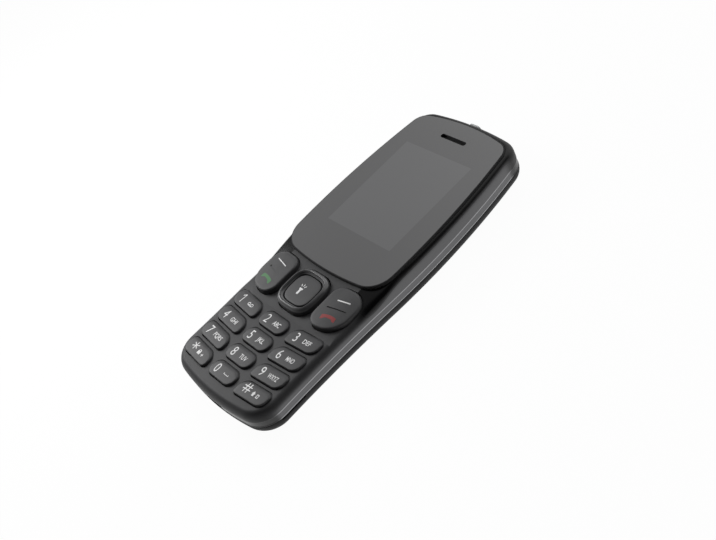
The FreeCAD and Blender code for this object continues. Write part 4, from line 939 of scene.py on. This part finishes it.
# The beads' pale grey is a painted highlight: it stands for the light their bevels catch.
bead_painted_highlight = (band_satin.z.step(BAND_LOW + 0.44, BAND_LOW + 0.36)
        + band_satin.z.step(BAND_HIGH - 0.44, BAND_HIGH - 0.36))
trim = abs(band_satin.y).step(50.0, 47.5)
brushed = band_satin.noise(0.1, 3.0, (1, 0.05, 1))
steel_grey = band_satin.mix(brushed, (0.115, 0.115, 0.118), (0.165, 0.165, 0.170))
band_satin.set("Base Color", band_satin.mix(
    trim, (0.035, 0.035, 0.036), band_satin.mix(bead_painted_highlight, steel_grey, (0.36, 0.36, 0.37))))
band_satin.set("Metallic", trim * 0.9)
lower = [(0.6, 0.0), (0.16, 0.0), (0.04, 0.05), (0.0, 0.2), (0.04, 0.35), (0.10, 0.42)]
profile = [(inset, BAND_LOW + up) for inset, up in lower]
profile += [(inset, BAND_HIGH - up) for inset, up in reversed(lower)]
band = hoop([ring(body_rim, *step) for step in profile])
piece("trim_band", carve(band, jack_tool(), usb_tool()), band_satin, "housing", ("side_band",))

# Sockets: a black headset jack whose bore takes a 3.5 mm plug, and a micro-USB shell of tinned steel
# round its tongue.
recast("audio_jack", "headset_jack", chassis_nylon, "housing")
carry(tinned_steel, "usb_socket")

# Camera: a black module on the board's back, whose lens barrel looks out through a smoked window in
# the cover.
camera_black = moulded("camera_black", (0.012, 0.012, 0.013), 0.4, 0.1, 0.006)
recast("camera_module", "camera_block", camera_black, "housing")

# Loudspeaker, vibration motor and antenna: small sealed capsules and a plastic carrier that sit under
# the chassis floor. The motor's weight is a half round on its shaft.
recast("loudspeaker", "speaker_capsule", camera_black, "housing")
recast("vibration_motor", "motor_can", tinned_steel, "housing")
recast("motor_weight", "eccentric_weight", tinned_steel, "motor_weight")
carry(chassis_nylon, "antenna")

# Battery: a flat lithium pack in a matt grey wrap without print, with gilt contact pads facing the
# spring contacts of the chassis.
wrap = moulded("battery_wrap", (0.30, 0.31, 0.33), 0.42, 0.3, 0.006)
recast("battery", "battery_pack", wrap, "battery")
gilt = Finish("gilt_contacts", (0.75, 0.52, 0.18), 0.25, Metallic=1.0)
gilt.set("Roughness", 0.2 + gilt.noise(0.4) * 0.15)
carry(gilt, "battery_contacts")

# Screws: six small cross-head screws hold the chassis to the front. One tree sets the same head and
# shank at every screw's place.
screw_rim = plate((0.0, 0.0), 2.3, 2.3, 1.149, steps=6, along=1)
CROSS_LONG, CROSS_WIDE, CROSS_LOW, CROSS_DEEP = 1.2, 0.26, 5.0, 5.85
profile = [(0.45, 9.4), (0.45, 6.25), (0.02, 6.25), (0.0, 6.2), (0.0, 5.75), (0.12, 5.58),
           (0.4, 5.47)]
screw = capped([ring(screw_rim, *step) for step in profile])
bmesh.ops.recalc_face_normals(screw, faces=screw.faces)
screw = carve(screw, *(block(plate((0.0, 0.0), *size, 0.05, along=1), CROSS_LOW, CROSS_DEEP)
                       for size in ((CROSS_LONG, CROSS_WIDE), (CROSS_WIDE, CROSS_LONG))))
pattern = bpy.data.objects.new("screw_pattern", mesh_of("screw_pattern", screw))
screw_tree, add, given = geometry_tree("screws", {"Pattern": "Object", "Finish": "Material"})
info = add("GeometryNodeObjectInfo", {}, {"Object": given["Pattern"]})
laid = add("GeometryNodeInstanceOnPoints", {},
           {"Points": given["Geometry"], "Instance": info["Geometry"]})[0]
real = add("GeometryNodeRealizeInstances", {}, {"Geometry": laid})[0]
dressed = add("GeometryNodeSetMaterial", {}, {"Geometry": real, "Material": given["Finish"]})[0]
add("NodeGroupOutput", {}, {"Geometry": dressed})
screw_places = [(x * side * MM, y * MM, 0) for x, y in ((17.6, 47.6), (19.7, -5.5), (13.0, -53.15))
                for side in (1, -1)]
grown("cross_head_screws", screw_tree, {"Pattern": pattern}, tinned_steel, "housing",
      ("housing_screws",), screw_places)
bpy.data.objects.remove(pattern)

# Rear cover: the snap-on back in black matt plastic with a broad rounded edge. It has slots over the
# loudspeaker, a window for the camera and a notch at its rim to pry it off.
COVER_TOP, COVER_ROUND, COVER_WALL = 5.05, 4.95, 1.2
back = bmesh.new()
inner_round = COVER_ROUND - COVER_WALL
profile = [(COVER_ROUND * down, COVER_ROUND * inward) for inward, down in quarter(12)]
profile += [(0.0, COVER_TOP - 0.08), (0.08, COVER_TOP), (COVER_WALL, COVER_TOP)]
profile += [(COVER_WALL + inner_round * inward, COVER_WALL + inner_round * down)
            for inward, down in quarter(8)]
rows = skin(back, [ring(body_rim, *step) for step in profile])
for edge, upward in ((rows[0], False), (rows[-1], True)):
    half = len(edge) // 2
    for here in range(half):
        corners = [edge[here], edge[here + 1], edge[-here - 1], edge[-here] if here else None]
        corners = list(dict.fromkeys(corner for corner in corners if corner))
        back.faces.new(corners if upward else corners[::-1])
bmesh.ops.recalc_face_normals(back, faces=back.faces)
SPEAKER, SLOT_PITCH, CAMERA_Y = (8.8, -46.2), 1.6, 41.0
floor_heights = (-1.0, 3.0)
slots = bmesh.new()
for index in range(-2, 3):
    block(plate((SPEAKER[0], SPEAKER[1] + SLOT_PITCH * index), 5.0, 0.7, 0.34), *floor_heights,
          form=slots)
camera_hole = block(plate((0.0, CAMERA_Y), 6.5, 6.5, 3.249, steps=14, along=1), *floor_heights)
notch = block(plate((25.6, -43.65), 9.0, 8.9, 0.6), 4.5, 6.0)
cover_black = moulded("cover_black", (0.014, 0.014, 0.015), 0.55, 0.12, 0.014,
                      Specular_IOR_Level=0.2)
piece("back_shell", carve(back, slots, camera_hole, notch, jack_tool(), usb_tool()), cover_black,
      "rear_cover", ("rear_cover",))
smoked = Finish("smoked_glass", (0.004, 0.004, 0.005), 0.05, Coat_Weight=1.0)
off_middle = smoked.y - CAMERA_Y
far = smoked.x.math("SQRT", smoked.x * smoked.x + off_middle * off_middle)
pupil = far.step(1.1, 1.0)
collar = far.step(1.9, 2.0) * far.step(2.3, 2.2)
inner_glass = smoked.mix(pupil, (0.006, 0.006, 0.007), (0.01, 0.014, 0.03))
smoked.set("Base Color", smoked.mix(collar, inner_glass, (0.05, 0.05, 0.052)))
recast("camera_window", "camera_glass", smoked, "rear_cover")
grown("speaker_cloth", cloth_tree,
      {"Wide": 6.0 * MM, "High": 8.0 * MM, "Pitch": 0.3 * MM, "Wire": 0.08 * MM,
       "Place": Vector((*SPEAKER, 1.38)) * MM},
      woven_wire, "housing")

# Studio: a pale floor under the phone, a broad soft light from the upper left, and a white surround.
# The camera looks down at the front from the lower right, rolled as the photograph is.
floor_mesh = bpy.data.meshes.new("floor")
floor_mesh.from_pydata([(-6, -6, 0), (6, -6, 0), (6, 6, 0), (-6, 6, 0)], [], [(0, 1, 2, 3)])
put("floor", floor_mesh)
paper = bpy.data.materials.new("white_paper")
paper.use_nodes = True
paper.node_tree.nodes.clear()
add = partial(add_node, paper.node_tree)
path = add("ShaderNodeLightPath")
seen = reckon(paper.node_tree, "MAXIMUM", path["Is Camera Ray"], path["Is Glossy Ray"])
weak = reckon(paper.node_tree, "MULTIPLY", seen, 0.92)
matt = add("ShaderNodeBsdfDiffuse", {}, {"Color": (0.5, 0.5, 0.5)})[0]
glow = add("ShaderNodeEmission", {}, {"Strength": 1.05})[0]
blend = add("ShaderNodeMixShader", {}, {0: weak, 1: matt, 2: glow})[0]
add("ShaderNodeOutputMaterial", {}, {"Surface": blend})
floor_mesh.materials.append(paper)

world = bpy.data.worlds.new("studio")
bpy.context.scene.world = world
world.use_nodes = True
world.node_tree.nodes.clear()
add = partial(add_node, world.node_tree)
path = add("ShaderNodeLightPath")
way = add("ShaderNodeTexCoord")["Generated"]
# Two soft lights far up and a glow along the horizon that only mirrors see. Each has a direction, a
# strength, and the two cosines between which it swells from nothing.
strength = 0.02
for direction, peak, low, high in (((-0.10, 0.80, 0.59), 1.4, 0.62, 0.95),
                                   ((-0.81, -0.30, 0.50), 0.28, 0.62, 0.95),
                                   ((0, 0, -1), 0.7, -0.38, -0.12)):
    toward = add("ShaderNodeVectorMath", {"operation": "DOT_PRODUCT"},
                 {0: way, 1: Vector(direction).normalized()})["Value"]
    lit = add("ShaderNodeMapRange", {"interpolation_type": "SMOOTHSTEP"},
              {"Value": toward, "From Min": low, "From Max": high, "To Max": peak})[0]
    if direction[2] < 0:
        lit = reckon(world.node_tree, "MULTIPLY", lit, path["Is Glossy Ray"])
    strength = reckon(world.node_tree, "ADD", lit, strength)
sky, bright = (add("ShaderNodeBackground", {}, {"Color": (1, 1, 1), "Strength": light})[0]
               for light in (strength, 1.0))
blend = add("ShaderNodeMixShader", {}, {0: path["Is Camera Ray"], 1: sky, 2: bright})[0]
add("ShaderNodeOutputWorld", {}, {"Surface": blend})

softbox_data = bpy.data.lights.new("left_softbox", "AREA")
softbox_data.shape, softbox_data.size, softbox_data.energy = "SQUARE", 0.11, 0.34
softbox = put("left_softbox", softbox_data)
softbox.location = (-0.205, -0.045, 0.155)
softbox.rotation_euler = (-softbox.location).to_track_quat("-Z", "Y").to_euler()
# The camera's focal length, place and turns were fitted to the photograph, 716 pixels wide.
PHOTO_WIDE, FOCAL, SENSOR = 716, 1050, 36.0
camera_data = bpy.data.cameras.new("camera")
camera_data.sensor_width = SENSOR
camera_data.lens = FOCAL / PHOTO_WIDE * SENSOR
camera = put("camera", camera_data)
camera.location = (0.21143, -0.07993, 0.21213)
camera.rotation_euler = [math.radians(turn) for turn in (42.9031, 21.8944, 47.361)]
bpy.context.scene.camera = camera
bpy.context.scene.view_settings.view_transform = "Standard"
